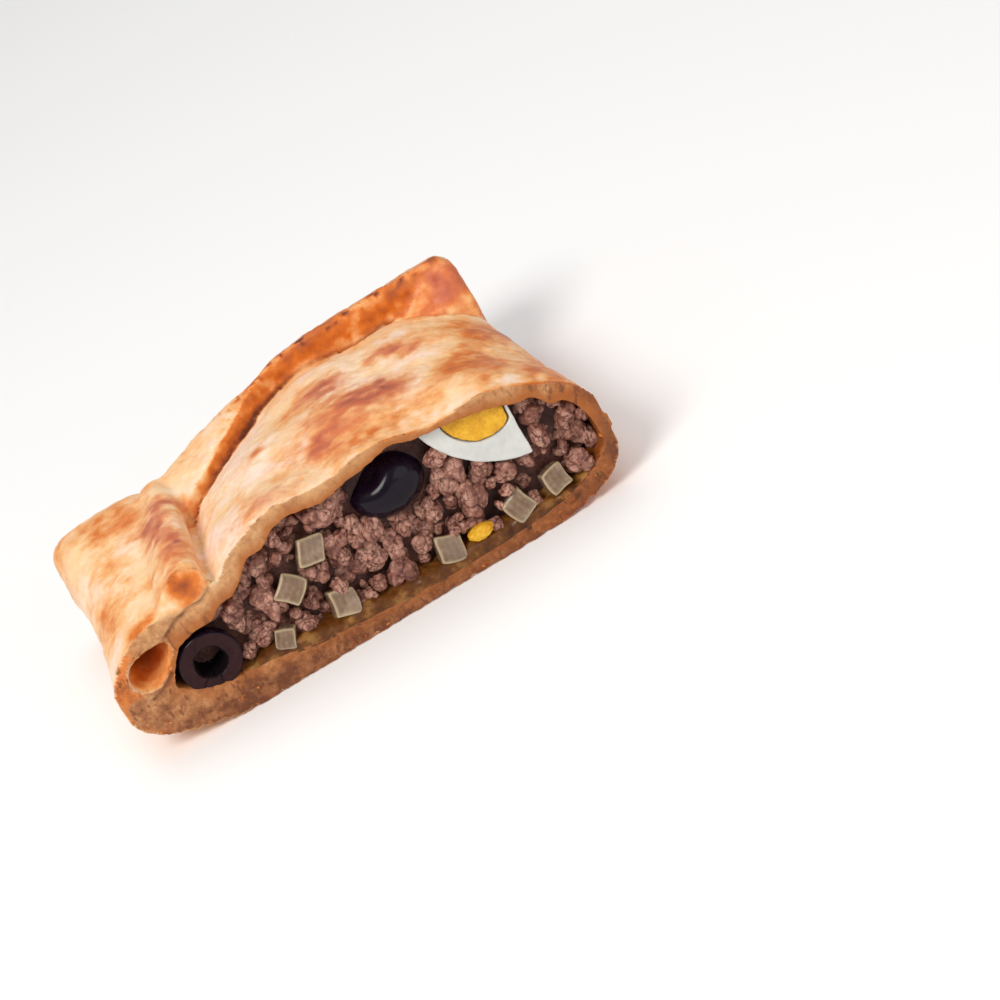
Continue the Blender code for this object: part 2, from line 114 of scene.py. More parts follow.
def creases(points, size, seed):
    # narrow folds along the lines where the noise changes sign, 1 in the fold and 0 between
    return np.clip(1.0 - 3.2 * np.abs(softNoise(points, size, seed)), 0.0, 1.0)


def newPiece(name, points, faces):
    # a mesh object from points and the faces' point numbers
    mesh = bpy.data.meshes.new(name)
    mesh.from_pydata(np.asarray(points).reshape(-1, 3).tolist(), [], faces)
    mesh.update()
    piece = bpy.data.objects.new(name, mesh)
    bpy.context.scene.collection.objects.link(piece)
    return piece


def ringFaces(count, around, start=0):
    # quads between neighbouring rings of a closed section, and a cap on the first and the last
    index = start + np.arange(count * around).reshape(count, around)
    near, far = index[:-1], index[1:]
    quads = np.stack([near, far, np.roll(far, -1, 1), np.roll(near, -1, 1)], axis=-1)
    return quads.reshape(-1, 4).tolist() + [index[0].tolist(), index[-1][::-1].tolist()]


def loftedPiece(name, bundles):
    # one mesh from several stacks of rings
    points, faces, start = [], [], 0
    for rings in bundles:
        count, around = rings.shape[:2]
        points.append(rings.reshape(-1, 3))
        faces += ringFaces(count, around, start)
        start += count * around
    return newPiece(name, np.concatenate(points), faces)


def turnOut(piece):
    # merges doubles and turns the faces of a closed shape outwards
    form = bmesh.new()
    form.from_mesh(piece.data)
    bmesh.ops.remove_doubles(form, verts=form.verts[:], dist=0.01 * mm)
    bmesh.ops.recalc_face_normals(form, faces=form.faces[:])
    if form.calc_volume(signed=True) < 0:
        bmesh.ops.reverse_faces(form, faces=form.faces[:])
    form.to_mesh(piece.data)
    form.free()
    return piece


def bake(piece):
    # applies the piece's modifiers
    bpy.context.view_layer.update()
    graph = bpy.context.evaluated_depsgraph_get()
    mesh = bpy.data.meshes.new_from_object(piece.evaluated_get(graph))
    piece.modifiers.clear()
    old = piece.data
    piece.data = mesh
    bpy.data.meshes.remove(old)
    return piece


def readPoints(piece):
    points = np.empty(3 * len(piece.data.vertices))
    piece.data.vertices.foreach_get("co", points)
    return points.reshape(-1, 3)


def readNormals(piece):
    normals = np.empty(3 * len(piece.data.vertices), np.float32)
    piece.data.vertex_normals.foreach_get("vector", normals)
    return normals.reshape(-1, 3).astype(float)


def writePoints(piece, points):
    piece.data.vertices.foreach_set("co", points.ravel())
    piece.data.update()


def addMask(piece, name, values):
    # a value from 0 to 1 at each point, for the material to read
    mask = piece.data.attributes.new(name, "FLOAT", "POINT")
    mask.data.foreach_set("value", np.clip(values, 0, 1).astype(np.float32))


def remesh(piece, size, smooths):
    # makes one closed skin of cells of that size, then softens it
    weld = piece.modifiers.new("weld", "REMESH")
    weld.mode = "VOXEL"
    weld.voxel_size = size
    soften = piece.modifiers.new("soften", "SMOOTH")
    soften.factor = 0.5
    soften.iterations = smooths


def cutAway(piece, cutter):
    # takes the cutter's shape out of the piece, once baked
    knife = piece.modifiers.new(cutter.name, "BOOLEAN")
    knife.operation = "DIFFERENCE"
    knife.object = cutter


def finishPiece(piece, slotName, look, *nodes):
    # gives the piece its look and says which body it rides and which nodes it stands for
    piece.data.materials.clear()
    piece.data.materials.append(look)
    piece.data.shade_smooth()
    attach(piece, "root")
    if nodes:
        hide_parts(*nodes)
    return piece


# angles in degrees, distances in metres, lens in millimetres
camera = {"azimuth": -4, "elevation": 29, "roll": 29.1, "distance": 0.697, "lens": 120,
          "aim": (0.031, cutY, 0.0128)}


def placeCamera():
    # looks along -back at the aim, rolled about its own axis
    a, e, r = (math.radians(camera[key]) for key in ("azimuth", "elevation", "roll"))
    right = Vector((math.cos(a), math.sin(a), 0))
    up = Vector((-math.sin(a) * math.sin(e), math.cos(a) * math.sin(e), math.cos(e)))
    back = right.cross(up)
    axes = (math.cos(r) * right - math.sin(r) * up, math.sin(r) * right + math.cos(r) * up, back)
    data = bpy.data.cameras.new("camera")
    data.lens = camera["lens"]
    data.sensor_width = 36
    data.clip_end = 20
    made = bpy.data.objects.new("camera", data)
    bpy.context.scene.collection.objects.link(made)
    place = Vector(camera["aim"]) + camera["distance"] * back
    made.matrix_world = Matrix.Translation(place) @ Matrix(axes).transposed().to_4x4()
    bpy.context.scene.camera = made


# round area lights that all face the origin: place and size in metres, power in watts
lights = {
    "key": {"at": (-0.45, -0.55, 0.75), "size": 0.45, "power": 6.6, "colour": (1.0, 0.97, 0.93)},
    "fill": {"at": (0.55, -0.75, 0.35), "size": 0.9, "power": 2.1, "colour": (1.0, 0.98, 0.96)},
    "top": {"at": (0.05, 0.25, 0.95), "size": 0.9, "power": 2.9, "colour": (1.0, 1.0, 1.0)},
}


def placeLights():
    for name, light in lights.items():
        data = bpy.data.lights.new(name, "AREA")
        data.shape = "DISK"
        data.size = light["size"]
        data.energy = light["power"]
        data.color = light["colour"]
        made = bpy.data.objects.new(name, data)
        bpy.context.scene.collection.objects.link(made)
        made.location = light["at"]
        made.rotation_euler = (-Vector(light["at"])).to_track_quat("-Z", "Y").to_euler()
    world = bpy.data.worlds.new("studio")
    bpy.context.scene.world = world
    world.use_nodes = True
    world.node_tree.nodes["Background"].inputs["Color"].default_value = (1, 1, 1, 1)
    world.node_tree.nodes["Background"].inputs["Strength"].default_value = 0.4


def node(tree, kind, inputs=None, **settings):
    # a node with its settings; an input is a value or the socket that feeds it
    made = tree.nodes.new(kind)
    for key, value in settings.items():
        setattr(made, key, value)
    for key, value in (inputs or {}).items():
        if isinstance(value, bpy.types.NodeSocket):
            tree.links.new(value, made.inputs[key])
        else:
            made.inputs[key].default_value = value
    return made


def maths(tree, operation, a, b=0.0):
    return node(tree, "ShaderNodeMath", {0: a, 1: b}, operation=operation).outputs[0]


def plus(tree, a, b):
    return maths(tree, "ADD", a, b)


def times(tree, a, b):
    return maths(tree, "MULTIPLY", a, b)


def mixed(tree, share, a, b):
    # colour a going over to colour b by the share
    made = node(tree, "ShaderNodeMix", data_type="RGBA")
    for key, value in ((0, share), (6, a), (7, b)):
        if isinstance(value, bpy.types.NodeSocket):
            tree.links.new(value, made.inputs[key])
        else:
            made.inputs[key].default_value = value if key == 0 else (*value, 1.0)
    return made.outputs[2]


def spread(tree, value, low, high, newLow=0.0, newHigh=1.0):
    # low becomes newLow and high becomes newHigh, with an S-shaped step between
    inputs = {0: value, 1: low, 2: high, 3: newLow, 4: newHigh}
    return node(tree, "ShaderNodeMapRange", inputs, interpolation_type="SMOOTHSTEP").outputs[0]


def ramp(tree, share, stops):
    # colours from pairs of place and colour
    made = node(tree, "ShaderNodeValToRGB", {0: share})
    while len(made.color_ramp.elements) < len(stops):
        made.color_ramp.elements.new(0.5)
    for element, (place, colour) in zip(made.color_ramp.elements, stops):
        element.position = place
        element.color = (*colour, 1.0)
    return made.outputs[0]


def newGroup(name, inputs, outputs):
    tree = bpy.data.node_groups.new(name, "ShaderNodeTree")
    for key, kind, value in inputs:
        socket = tree.interface.new_socket(name=key, in_out="INPUT", socket_type=kind)
        if value is not None:
            socket.default_value = value
    for key, kind in outputs:
        tree.interface.new_socket(name=key, in_out="OUTPUT", socket_type=kind)
    return tree, tree.nodes.new("NodeGroupInput"), tree.nodes.new("NodeGroupOutput")


def makeMottleGroup():
    # two sizes of cloudy noise added together, as one value from 0 to 1
    tree, given, out = newGroup(
        "mottle",
        (("Coarse", "NodeSocketFloat", 60.0), ("Fine", "NodeSocketFloat", 300.0),
         ("Fine share", "NodeSocketFloat", 0.4)),
        (("Value", "NodeSocketFloat"), ("Height", "NodeSocketFloat")))
    at = node(tree, "ShaderNodeTexCoord").outputs["Object"]
    coarse, fine = (
        node(tree, "ShaderNodeTexNoise", {
            "Vector": at, "Scale": given.outputs[size], "Detail": detail, "Roughness": rough}).outputs[0]
        for size, detail, rough in (("Coarse", 3.0, 0.55), ("Fine", 4.0, 0.6)))
    both = node(tree, "ShaderNodeMix", {0: given.outputs["Fine share"], 2: coarse, 3: fine})
    tree.links.new(both.outputs[0], out.inputs["Value"])
    tree.links.new(fine, out.inputs["Height"])
    return tree


mottleGroup = makeMottleGroup()


def addMottle(tree, coarse, fine, share):
    # the mottle's two outputs: its value and the finer noise alone
    made = node(tree, "ShaderNodeGroup", node_tree=mottleGroup)
    for key, value in (("Coarse", coarse), ("Fine", fine), ("Fine share", share)):
        made.inputs[key].default_value = value
    return made.outputs["Value"], made.outputs["Height"]


def newMaterial(name, **plain):
    # a Principled material; plain values are the same all over and are set on its own sockets
    made = bpy.data.materials.new(name)
    made.use_nodes = True
    tree = made.node_tree
    shader = tree.nodes["Principled BSDF"]
    for key, value in plain.items():
        shader.inputs[key.replace("_", " ")].default_value = value
    return made, tree, shader


def addBump(tree, shader, height, strength, distance):
    bump = node(tree, "ShaderNodeBump", {"Height": height, "Strength": strength, "Distance": distance})
    tree.links.new(bump.outputs[0], shader.inputs["Normal"])


def readMask(tree, name):
    return node(tree, "ShaderNodeAttribute", attribute_name=name).outputs["Fac"]


doughLook = {
    "milk": (0.95, 0.74, 0.58),
    "cream": (0.92, 0.62, 0.38),
    "straw": (0.88, 0.60, 0.28),
    "pink": (0.93, 0.66, 0.56),
    "gold": (0.86, 0.44, 0.17),
    "tan": (0.68, 0.175, 0.018),
    "brown": (0.40, 0.080, 0.010),
    "dark": (0.10, 0.018, 0.004),
    "blush": (0.78, 0.25, 0.11),
    "blister": (0.50, 0.115, 0.055),
    "blisterDark": (0.20, 0.04, 0.03),
    "crumbPale": (0.62, 0.33, 0.14),
    "crumb": (0.35, 0.135, 0.047),
    "crumbDark": (0.15, 0.042, 0.012),
    "wet": (0.38, 0.105, 0.012),
    "toasted": (0.34, 0.075, 0.012),
    # inside: the hollow's inner skin, laid on more fully further in as painted shade
    "inside": (0.30, 0.065, 0.008),
    # crease: painted shade for the fold lines and the cut's seams
    "crease": (0.10, 0.018, 0.005),
}


def doughRamp(tree, share, *stops):
    return ramp(tree, share, [(place, doughLook[name]) for place, name in stops])


def skinColour(tree, cloudy, wide):
    # from milk-white to dark brown by how baked a place is, a mask that also carries the painted shade of
    # the folds, with milky, straw and pink clouds where it is pale, and blisters over it
    loose = times(tree, plus(tree, cloudy, -0.5), 1.05)
    share = plus(tree, readMask(tree, "browningAndShade"), loose)
    colour = doughRamp(tree, share, (0.0, "milk"), (0.14, "cream"), (0.36, "gold"), (0.58, "tan"),
                       (0.8, "brown"), (1.0, "dark"))
    milky = times(tree, spread(tree, wide, 0.48, 0.62, 0.0, 0.8), spread(tree, share, 0.1, 0.34, 1.0, 0.0))
    colour = mixed(tree, milky, colour, doughLook["milk"])
    tint, _ = addMottle(tree, 61.0, 260.0, 0.4)
    light = spread(tree, share, 0.12, 0.4, 0.5, 0.0)
    for name, reach in (("straw", (0.42, 0.54, 1.0, 0.0)), ("pink", (0.5, 0.62))):
        colour = mixed(tree, times(tree, spread(tree, tint, *reach), light), colour, doughLook[name])
    blister = plus(tree, readMask(tree, "blister"), loose)
    spotty = doughRamp(tree, blister, (0.12, "blush"), (0.66, "blister"), (1.0, "blisterDark"))
    return mixed(tree, spread(tree, blister, 0.0, 0.66, 0.0, 0.88), colour, spotty)


def crumbColour(tree, wide, pore):
    # the cut dough: paler in the rind, toasted along the outer edge, wet beside the filling, and
    # pricked with pores painted dark as shade in the bubbles
    cloudy, _ = addMottle(tree, 220.0, 1000.0, 0.45)
    rind = readMask(tree, "rind")
    crumb = doughRamp(tree, plus(tree, cloudy, times(tree, plus(tree, rind, -0.5), 0.36)),
                      (0.32, "crumbDark"), (0.5, "crumb"), (0.72, "crumbPale"))
    rim = doughRamp(tree, plus(tree, cloudy, spread(tree, rind, 0.2, 0.6, -0.16, 0.1)),
                    (0.34, "crumbDark"), (0.48, "toasted"), (0.62, "tan"))
    ragged = spread(tree, wide, 0.40, 0.58, 0.25, 1.0)
    crumb = mixed(tree, times(tree, readMask(tree, "edge"), ragged), crumb, rim)
    crumb = mixed(tree, readMask(tree, "near"), crumb, doughLook["wet"])
    # the pores are painted dark as shade in the bubbles
    return mixed(tree, times(tree, pore, 0.7), crumb, doughLook["crumbDark"])


def addPores(tree):
    # slanted bubbles in the crumb, few of them in the rind; the material darkens them as painted shade
    at = node(tree, "ShaderNodeTexCoord").outputs["Object"]
    at = node(tree, "ShaderNodeMapping", {"Vector": at, "Rotation": (0, 0.5, 0), "Scale": (760, 300, 330)})
    noise = node(tree, "ShaderNodeTexNoise", {"Vector": at.outputs[0], "Scale": 1.0, "Detail": 1.0})
    inRind = spread(tree, readMask(tree, "rind"), 0.5, 0.95, 1.0, 0.1)
    return times(tree, spread(tree, noise.outputs[0], 0.61, 0.67), inRind)


def makeDoughMaterial():
    made, tree, shader = newMaterial(
        "bakedDough", Roughness=0.45, Specular_IOR_Level=0.3, Subsurface_Weight=0.1,
        Subsurface_Scale=0.002, Subsurface_Radius=(1.0, 0.45, 0.2), Coat_Weight=0.06, Coat_Roughness=0.25)
    cloudy, height = addMottle(tree, 90.0, 480.0, 0.45)
    wide, _ = addMottle(tree, 38.0, 160.0, 0.5)
    pore, cut = addPores(tree), readMask(tree, "cut")
    colour = mixed(tree, cut, skinColour(tree, cloudy, wide), crumbColour(tree, wide, pore))
    # painted shade: the hollow's walls darken further in, and the fold lines and seams darken
    for name in ("inside", "crease"):
        colour = mixed(tree, readMask(tree, name), colour, doughLook[name])
    tree.links.new(colour, shader.inputs["Base Color"])
    addBump(tree, shader, maths(tree, "SUBTRACT", height, times(tree, pore, cut)), 0.35, 0.0006)
    return made


print("camera, light and materials")
placeCamera()
placeLights()


# how the dough is folded; depths run from the cut towards the back
dough = {
    "depthLeft": 66 * mm, "waist": 6.8 * mm, "waistLeft": 2.3 * mm, "rim": 16 * mm, "sunk": 1.5 * mm,
    # how the lid comes down towards the hem: across, power of the curve, share of it that shows
    "fall": ((-28, 1.15, 1.0), (-19, 1.33, 1.0), (-11.4, 1.6, 1.0), (-4.8, 1.72, 0.975), (2.3, 1.85, 0.912),
             (6.5, 1.9, 0.892), (12.2, 1.95, 0.875), (16.5, 2.0, 0.888), (22, 2.05, 0.922),
             (29.4, 2.2, 0.914), (33, 2.3, 0.904), (45, 2.6, 0.97)),
    "bump": 1.1 * mm, "bumpPitch": 26 * mm, "lidLeft": -53 * mm, "tuck": 4 * mm,
    "hemLeft": -44 * mm, "hemFront": 71.5 * mm, "hemTurn": 4 * mm, "hemSlant": 0.97,
    # how the rolled part leans back, how steeply the flat part falls away, and how far its front is
    # cut under at the left and at the right
    "overhang": 1.3 * mm, "hemLean": 0.42, "hemFall": 0.7, "hemUnder": (2.4 * mm, 0.7 * mm),
    # the hem's crest, across and height, and the depth where its left part starts to fall away
    "hemTop": ((-33, 28.4), (-26.5, 29.9), (-19, 30.9), (-11.4, 32.3), (-4.8, 33.5), (2.3, 34.7), (16, 35.6),
               (50, 35.9)),
    "hemAway": ((-30, 58), (-19, 64), (-11.4, 66.5), (-4.8, 67.5)),
    "flapSpan": 30 * mm, "flapTop": 30.3 * mm, "flapTilt": 0.17,
    "beadRadius": 3.6 * mm, "beadSpread": 2.5, "beadTop": 37.4 * mm, "beadDrop": 6.8 * mm,
    "earLeft": 35 * mm, "earRight": 53.0 * mm, "earTop": 33.2 * mm, "earDrop": 6.2 * mm, "earLean": 0.36,
    # from the ear's point to its broad end: depth of its front, and how far its rear is off the back
    "earFront": (70.5 * mm, 60.7 * mm), "earRear": (9 * mm, 0.5 * mm),
    # the line where the ear lies on the lid: across and depth
    "earLine": ((35, 70.5), (37.5, 68.0), (40.3, 64.8), (43.1, 62.4), (46.7, 61.4), (54, 61.0)),
    # the front of the browner skin on the ear: across and depth
    "earBrown": ((35, 71), (40.3, 65), (46.7, 61.6), (54, 61)),
    # the pocket in the fold of the flap: across, height, half length, half height, tilt in degrees
    "pocket": (-48.7, 21.2, 5.9, 3.7, 30),
    # lines in the cut where one layer of dough lies on another: across and height
    "seams": (((-28.6, 34.0), (-29.2, 31.9), (-30.6, 29.7), (-33.0, 28.6), (-36.5, 28.3), (-39.9, 27.4),
               (-43.2, 25.3)), ((-45.9, 17.2), (-47.4, 16.0), (-49.4, 14.9), (-51.9, 14.1))),
    "coarse": 0.75 * mm, "grain": 0.6 * mm, "keep": 0.7,
    # browned places on the lid, flap and ear in millimetres: across, depth, half length, half width,
    # turn in degrees, how baked, how blistered
    "spots": (
        (9, 20, 10, 7.5, 30, 0.38, 0.66), (18, 26, 8, 9, 30, 0.38, 0.72), (12, 45, 7, 6, 20, 0.34, 0.62),
        (22, 28, 2.2, 7, -8, 0.1, 0.85), (13, 34, 8, 8, 0, 0.28, 0.32), (-9, 6.5, 9, 5, 0, 0.2, 0.42),
        (-13, 12, 6, 7, 0, 0.25, 0.2), (28.5, 46, 6.5, 3.4, -10, 0.35, 0.5), (33, 43, 4, 4, 0, 0.3, 0.4),
        (17, 24, 2.5, 2.5, 0, 0.1, 0.75), (6, 15, 3, 2, 0, 0.1, 0.7), (30, 45, 2.5, 1.3, 0, 0.1, 0.7),
        (-7.6, 34, 2.0, 1.8, 0, 0.4, 0.5), (22, 9, 16, 4.5, 4, 0.26, 0.05), (40, 22, 8, 7, 40, 0.34, 0.1),
        (4, 27, 9, 4, 35, 0.25, 0.1), (28, 14, 6, 3, 20, 0.22, 0.2), (-20, 24, 3, 9, 15, 0.16, 0.0),
        (51, 14, 5, 16, 0, 0.36, 0.06), (48, 42, 6, 13, 0, 0.24, 0.0), (30, 60, 12, 3, 0, 0.12, 0.0),
        (-31.0, 43, 4.2, 3.2, 60, 0.35, 0.75), (-34.6, 36, 4.0, 5.5, 20, 0.3, 0.7),
        (-34.6, 28, 3.6, 7.5, -8, 0.3, 0.6), (-32.6, 18, 3.0, 7, -6, 0.3, 0.6),
        (-34, 9, 3.5, 6, 0, 0.3, 0.3), (-32.5, 40, 1.8, 1.8, 0, 0.1, 0.95),
        (-31.4, 17, 1.0, 1.6, 0, 0.2, 1.2), (-33, 31, 1.2, 6, -20, 0.1, 0.8),
        (-35.5, 1.2, 3.7, 3.3, 0, 0.62, 0.0), (-43, 2, 8, 4, 0, 0.38, 0.0), (-47, 56, 9, 7, 0, 0.35, 0.0),
        (-39, 50, 4, 5, 0, 0.3, 0.1), (-46, 31, 3, 10, 20, 0.28, 0.0), (-53, 18, 3, 10, 10, 0.34, 0.0),
        (-55, 60, 4, 8, 0, 0.35, 0.0), (-41, 18, 2.5, 8, 15, 0.25, 0.0),
        (49.0, 67.5, 6.0, 4.4, 20, 0.45, 0.7), (51.5, 66, 3.0, 4, 0, 0.45, 0.5),
        (49, 66, 1.6, 2, 0, 0.1, 0.75), (43, 64.5, 7, 3, 10, 0.34, 0.22),
        (47, 64.5, 6, 4.5, 0, 0.36, 0.3), (-20, 70, 8, 4, 0, 0.3, 0.2)),
}


def acrossShare(x):
    # 0 at the left side, 1 at the right
    return np.clip((x - caseLow.x) / caseWidth, 0.0, 1.0)


def backEdge(x):
    # depth of the back: least at the flap's corner, then a quarter sine to the right
    left = dough["depthLeft"]
    return left + (caseDepth - left) * np.sin(acrossShare(x) * math.pi / 2)


def rightEdge(depth):
    # the right side draws in towards the back
    drawn = 1 - (1 - np.clip(depth / (0.8 * caseDepth), 0, 1)) ** 1.3
    return caseWidth / 2 - dough["waist"] * drawn


def leftEdge(depth):
    # the left side draws in by half a sine between its two corners
    swing = np.sin(math.pi * np.clip(depth / (0.93 * dough["depthLeft"]), 0, 1))
    return -caseWidth / 2 + dough["waistLeft"] * swing


def flapEdge(depth):
    # the flap's free edge, bowed to the right
    swing = np.sin(math.pi * np.clip(depth / dough["depthLeft"], 0, 1) ** 1.6)
    return -caseWidth / 2 + dough["flapSpan"] + 2.2 * mm * swing


def hemFront(x):
    # along the back edge, then slanting forward under the flap, with a soft turn between
    short = dough["hemTurn"] - x
    return dough["hemFront"] - dough["hemSlant"] * 0.5 * (short + np.sqrt(short ** 2 + (6 * mm) ** 2))


def hemTop(x):
    return readTable(dough["hemTop"], x) * mm


def earLine(x):
    return readTable(dough["earLine"], x) * mm


def lidRelief(x, depth):
    # waves that fade from the cut, slanting waves, and the dip where the lid goes under the flap
    pitch = dough["bumpPitch"]
    wave = -np.cos(2 * math.pi * x / pitch) * np.exp(-np.maximum(depth, 0) / pitch)
    slant = 0.5 * np.cos(2 * math.pi * (x + 2.2 * depth) / (2.7 * pitch))
    beside = (x - flapEdge(depth) - 1.0 * mm) / (2.4 * mm)
    return dough["bump"] * (wave + slant) - dough["tuck"] * bell(beside)


def sectionTurns(count):
    # angles round a section, closer together at its sides
    turn = np.linspace(0.0, 2 * math.pi, count, endpoint=False)
    return turn - 0.18 * np.sin(2 * turn)


def depthSteps(along, start=-0.12):
    # shares of the depth from the front to the back, closer together at the back
    return np.concatenate([[start], np.sin(np.linspace(0, math.pi / 2, along))])


def bodyRings(around, along):
    # superellipse sections from the cut to the hem; the upper half is the lid
    turn = sectionTurns(around)
    lower = np.sin(turn) < 0
    rim, rings = dough["rim"], []
    for t in depthSteps(along):
        back = max(t, 0.0)
        left = np.where(lower, leftEdge(dough["depthLeft"] * t), dough["lidLeft"] + 2 * mm * back)
        right = rightEdge(caseDepth * 0.9 * t) - 5 * mm * smoothStep((t - 0.75) / 0.25)
        rightSoft = np.where(lower, 3.5, 2.9 - 0.5 * smoothStep(back / 0.35))
        softness = np.where(np.cos(turn) < 0, np.where(lower, 2.8, 2.1), rightSoft)
        x = (left + right) / 2 + (right - left) / 2 * signedPower(np.cos(turn), 2 / softness)
        depth = (backEdge(x) - 3 * mm) * t
        high = signedPower(np.sin(turn), 2 / softness)
        fall = arch(back * readTable(dough["fall"], x, 2), readTable(dough["fall"], x))
        top = rim + (caseHeight - dough["bump"] - rim) * high * fall
        bottom = rim + (rim + dough["sunk"]) * high * arch(back, 4.0)
        top = top + lidRelief(x, depth) * np.clip(high, 0, 1) * fall
        rings.append(np.stack([x, depth, np.where(lower, bottom, top)], axis=1))
    return np.array(rings)


def hemRings(around, along):
    # the hem lies wide and flat at the flap and is rolled tighter and higher to the right,
    # where its top falls away behind the crest
    turn = sectionTurns(around)
    rings = []
    for t in np.linspace(0, 1, along):
        x = dough["hemLeft"] + t * (dough["earRight"] - 1.5 * mm - dough["hemLeft"])
        end = arch(2 * t - 1, 12.0)
        top = hemTop(x)
        front, rear = hemFront(x) - dough["overhang"], backEdge(x)
        ahead = np.cos(turn) < 0
        softness = np.where(ahead, 4.2, 2.6)
        half = (rear - front) / 2 * signedPower(np.cos(turn), 2 / softness) * end
        depth = (front + rear) / 2 + half
        centre = top - 3.4 * mm - 0.8 * mm * rise(x, -12, 10)
        high = signedPower(np.sin(turn), 2 / softness) * (0.7 + 0.3 * end)
        z = centre + high * np.where(high > 0, top - centre, centre + dough["sunk"])
        rolled, away = rise(x, -6, 12), readTable(dough["hemAway"], x) * mm
        leans = ((dough["hemLean"] * rolled, front + 2 * mm), (dough["hemFall"] * (1 - rolled), away))
        for lean, start in leans:
            z = z - lean * np.maximum(depth - start, 0) * np.clip(z / centre, 0, 1) ** 2
        under = between(dough["hemUnder"], rise(x, -4, 12))
        depth = depth + under * rise(centre - z, 0, 4) * ahead
        rings.append(np.stack([np.full(around, x), depth, z], axis=1))
    return np.array(rings)


def earRings(around, along):
    # the corner folded over the hem's right end: a three-sided lump, pointed to the left, whose
    # top leans up towards a ridge at the back
    turn = sectionTurns(around)
    rings = []
    for t in depthSteps(along, start=0.0)[1:]:
        x = dough["earLeft"] + t * (dough["earRight"] - dough["earLeft"])
        end = arch(t, 7.0)
        front = between(dough["earFront"], smoothStep(t / 0.6))
        rear = backEdge(x) - between(dough["earRear"], smoothStep((t - 0.3) / 0.6))
        top = dough["earTop"] - dough["earDrop"] * (1 - smoothStep(t))
        depth = (front + rear) / 2 + (rear - front) / 2 * signedPower(np.cos(turn), 0.8) * (0.4 + 0.6 * end)
        high = signedPower(np.sin(turn), 0.8)
        z = top / 2 + (top / 2 + dough["sunk"]) * high * (0.5 + 0.5 * end)
        z = z + dough["earLean"] * np.minimum(depth - 69 * mm, 0) * np.clip(high, 0, 1)
        rings.append(np.stack([np.full(around, x), depth, z], axis=1))
    return np.array(rings)


def flapRings(around, along):
    # the side flap folded over the mound
    turn = sectionTurns(around)
    rim, rings = dough["rim"], []
    for t in depthSteps(along):
        depth = t * dough["depthLeft"]
        back = max(t, 0.0)
        end = arch(back, 9.0)
        left, right = leftEdge(depth), flapEdge(depth)
        softness = np.where(np.cos(turn) < 0, 2.2 + 2.3 * back ** 2, 3.0)
        across = signedPower(np.cos(turn), 2 / softness) * (0.7 + 0.3 * end)
        high = signedPower(np.sin(turn), 2 / softness)
        x = (left + right) / 2 + (right - left) / 2 * across
        top = (dough["flapTop"] - 0.7 * mm * back - rim) * high * end
        tilt = dough["flapTilt"] * (1 - 0.8 * back)
        top = top + tilt * (x - (left + right) / 2) * np.clip(high, 0, 1)
        foot = 8 * mm + 8 * mm * smoothStep((back - 0.8) / 0.2)
        z = rim + np.where(high > 0, top, foot * high * end)
        rings.append(np.stack([x, np.full(around, depth), z], axis=1))
    return np.array(rings)


def beadRings(around, along):
    # the thick lip rolled along the flap's free edge, lowest and thinnest at the corner
    turn = np.linspace(0, 2 * math.pi, around, endpoint=False)
    rings = []
    for t in np.linspace(-0.1, 1.0, along):
        back = max(t, 0.0)
        depth = t * (dough["depthLeft"] - 7 * mm)
        radius = dough["beadRadius"] * (0.4 + 0.6 * arch(back, 3.0))
        side = np.where(np.cos(turn) < 0, dough["beadSpread"], 1.2)
        x = flapEdge(depth) + radius * (side * np.cos(turn) - 1.2)
        z = dough["beadTop"] - dough["beadDrop"] * back - radius + radius * np.sin(turn)
        z = z - 1.3 * radius * np.clip(-np.cos(turn), 0, 1) ** 2
        rings.append(np.stack([x, np.full(around, depth), z], axis=1))
    return np.array(rings)


# the room for the filling
cavity = {
    "left": -46.7 * mm, "right": 56.3 * mm, "top": 36 * mm, "rim": 13.5 * mm, "share": 0.78,
    "floor": ((-46.7, 13.4), (-45, 11.2), (-42, 9.0), (-38, 8.0), (-34, 7.8), (-27, 7.7), (-16, 5.7),
              (-6, 4.6), (5, 3.8), (15, 3.3), (36, 3.2), (44, 3.4), (50, 4.2), (54, 6.0), (56, 9.0),
              (56.3, 13.4)),
    # how far the roof stands above the even curve, from left to right, as the knife shows it
    "roof": ((-46, 0), (-42, 1.0), (-37, -1.5), (-33, -4.0), (-31, -2.5), (-27, -4.0), (-24, -3.0),
             (-21, 0.0), (-16, -1.6), (-14, 0.6), (-9, 0.6), (-1, -2.4), (5, -1.2), (11, -0.4),
             (15, 1.0), (18, 0.9), (21, -0.5), (30, -0.6), (38, -0.5), (44, -1.0), (47, 0.6), (50, -1.8),
             (53, 0.4), (56, 0)),
    # power of the curve by which the roof comes down with depth: across and power
    "fall": ((-28, 1.15), (-19, 1.35), (-11, 1.65), (0, 2.0), (14, 2.3)),
}


def hollowFall(x, t):
    # how the roof of the room comes down with depth, sooner on the left where the lid is low
    return arch(t, readTable(cavity["fall"], x))


def roomFloor(x, fall):
    # rises towards the back as the roof comes down
    return (readTable(cavity["floor"], x) + 9 * (1 - fall)) * mm


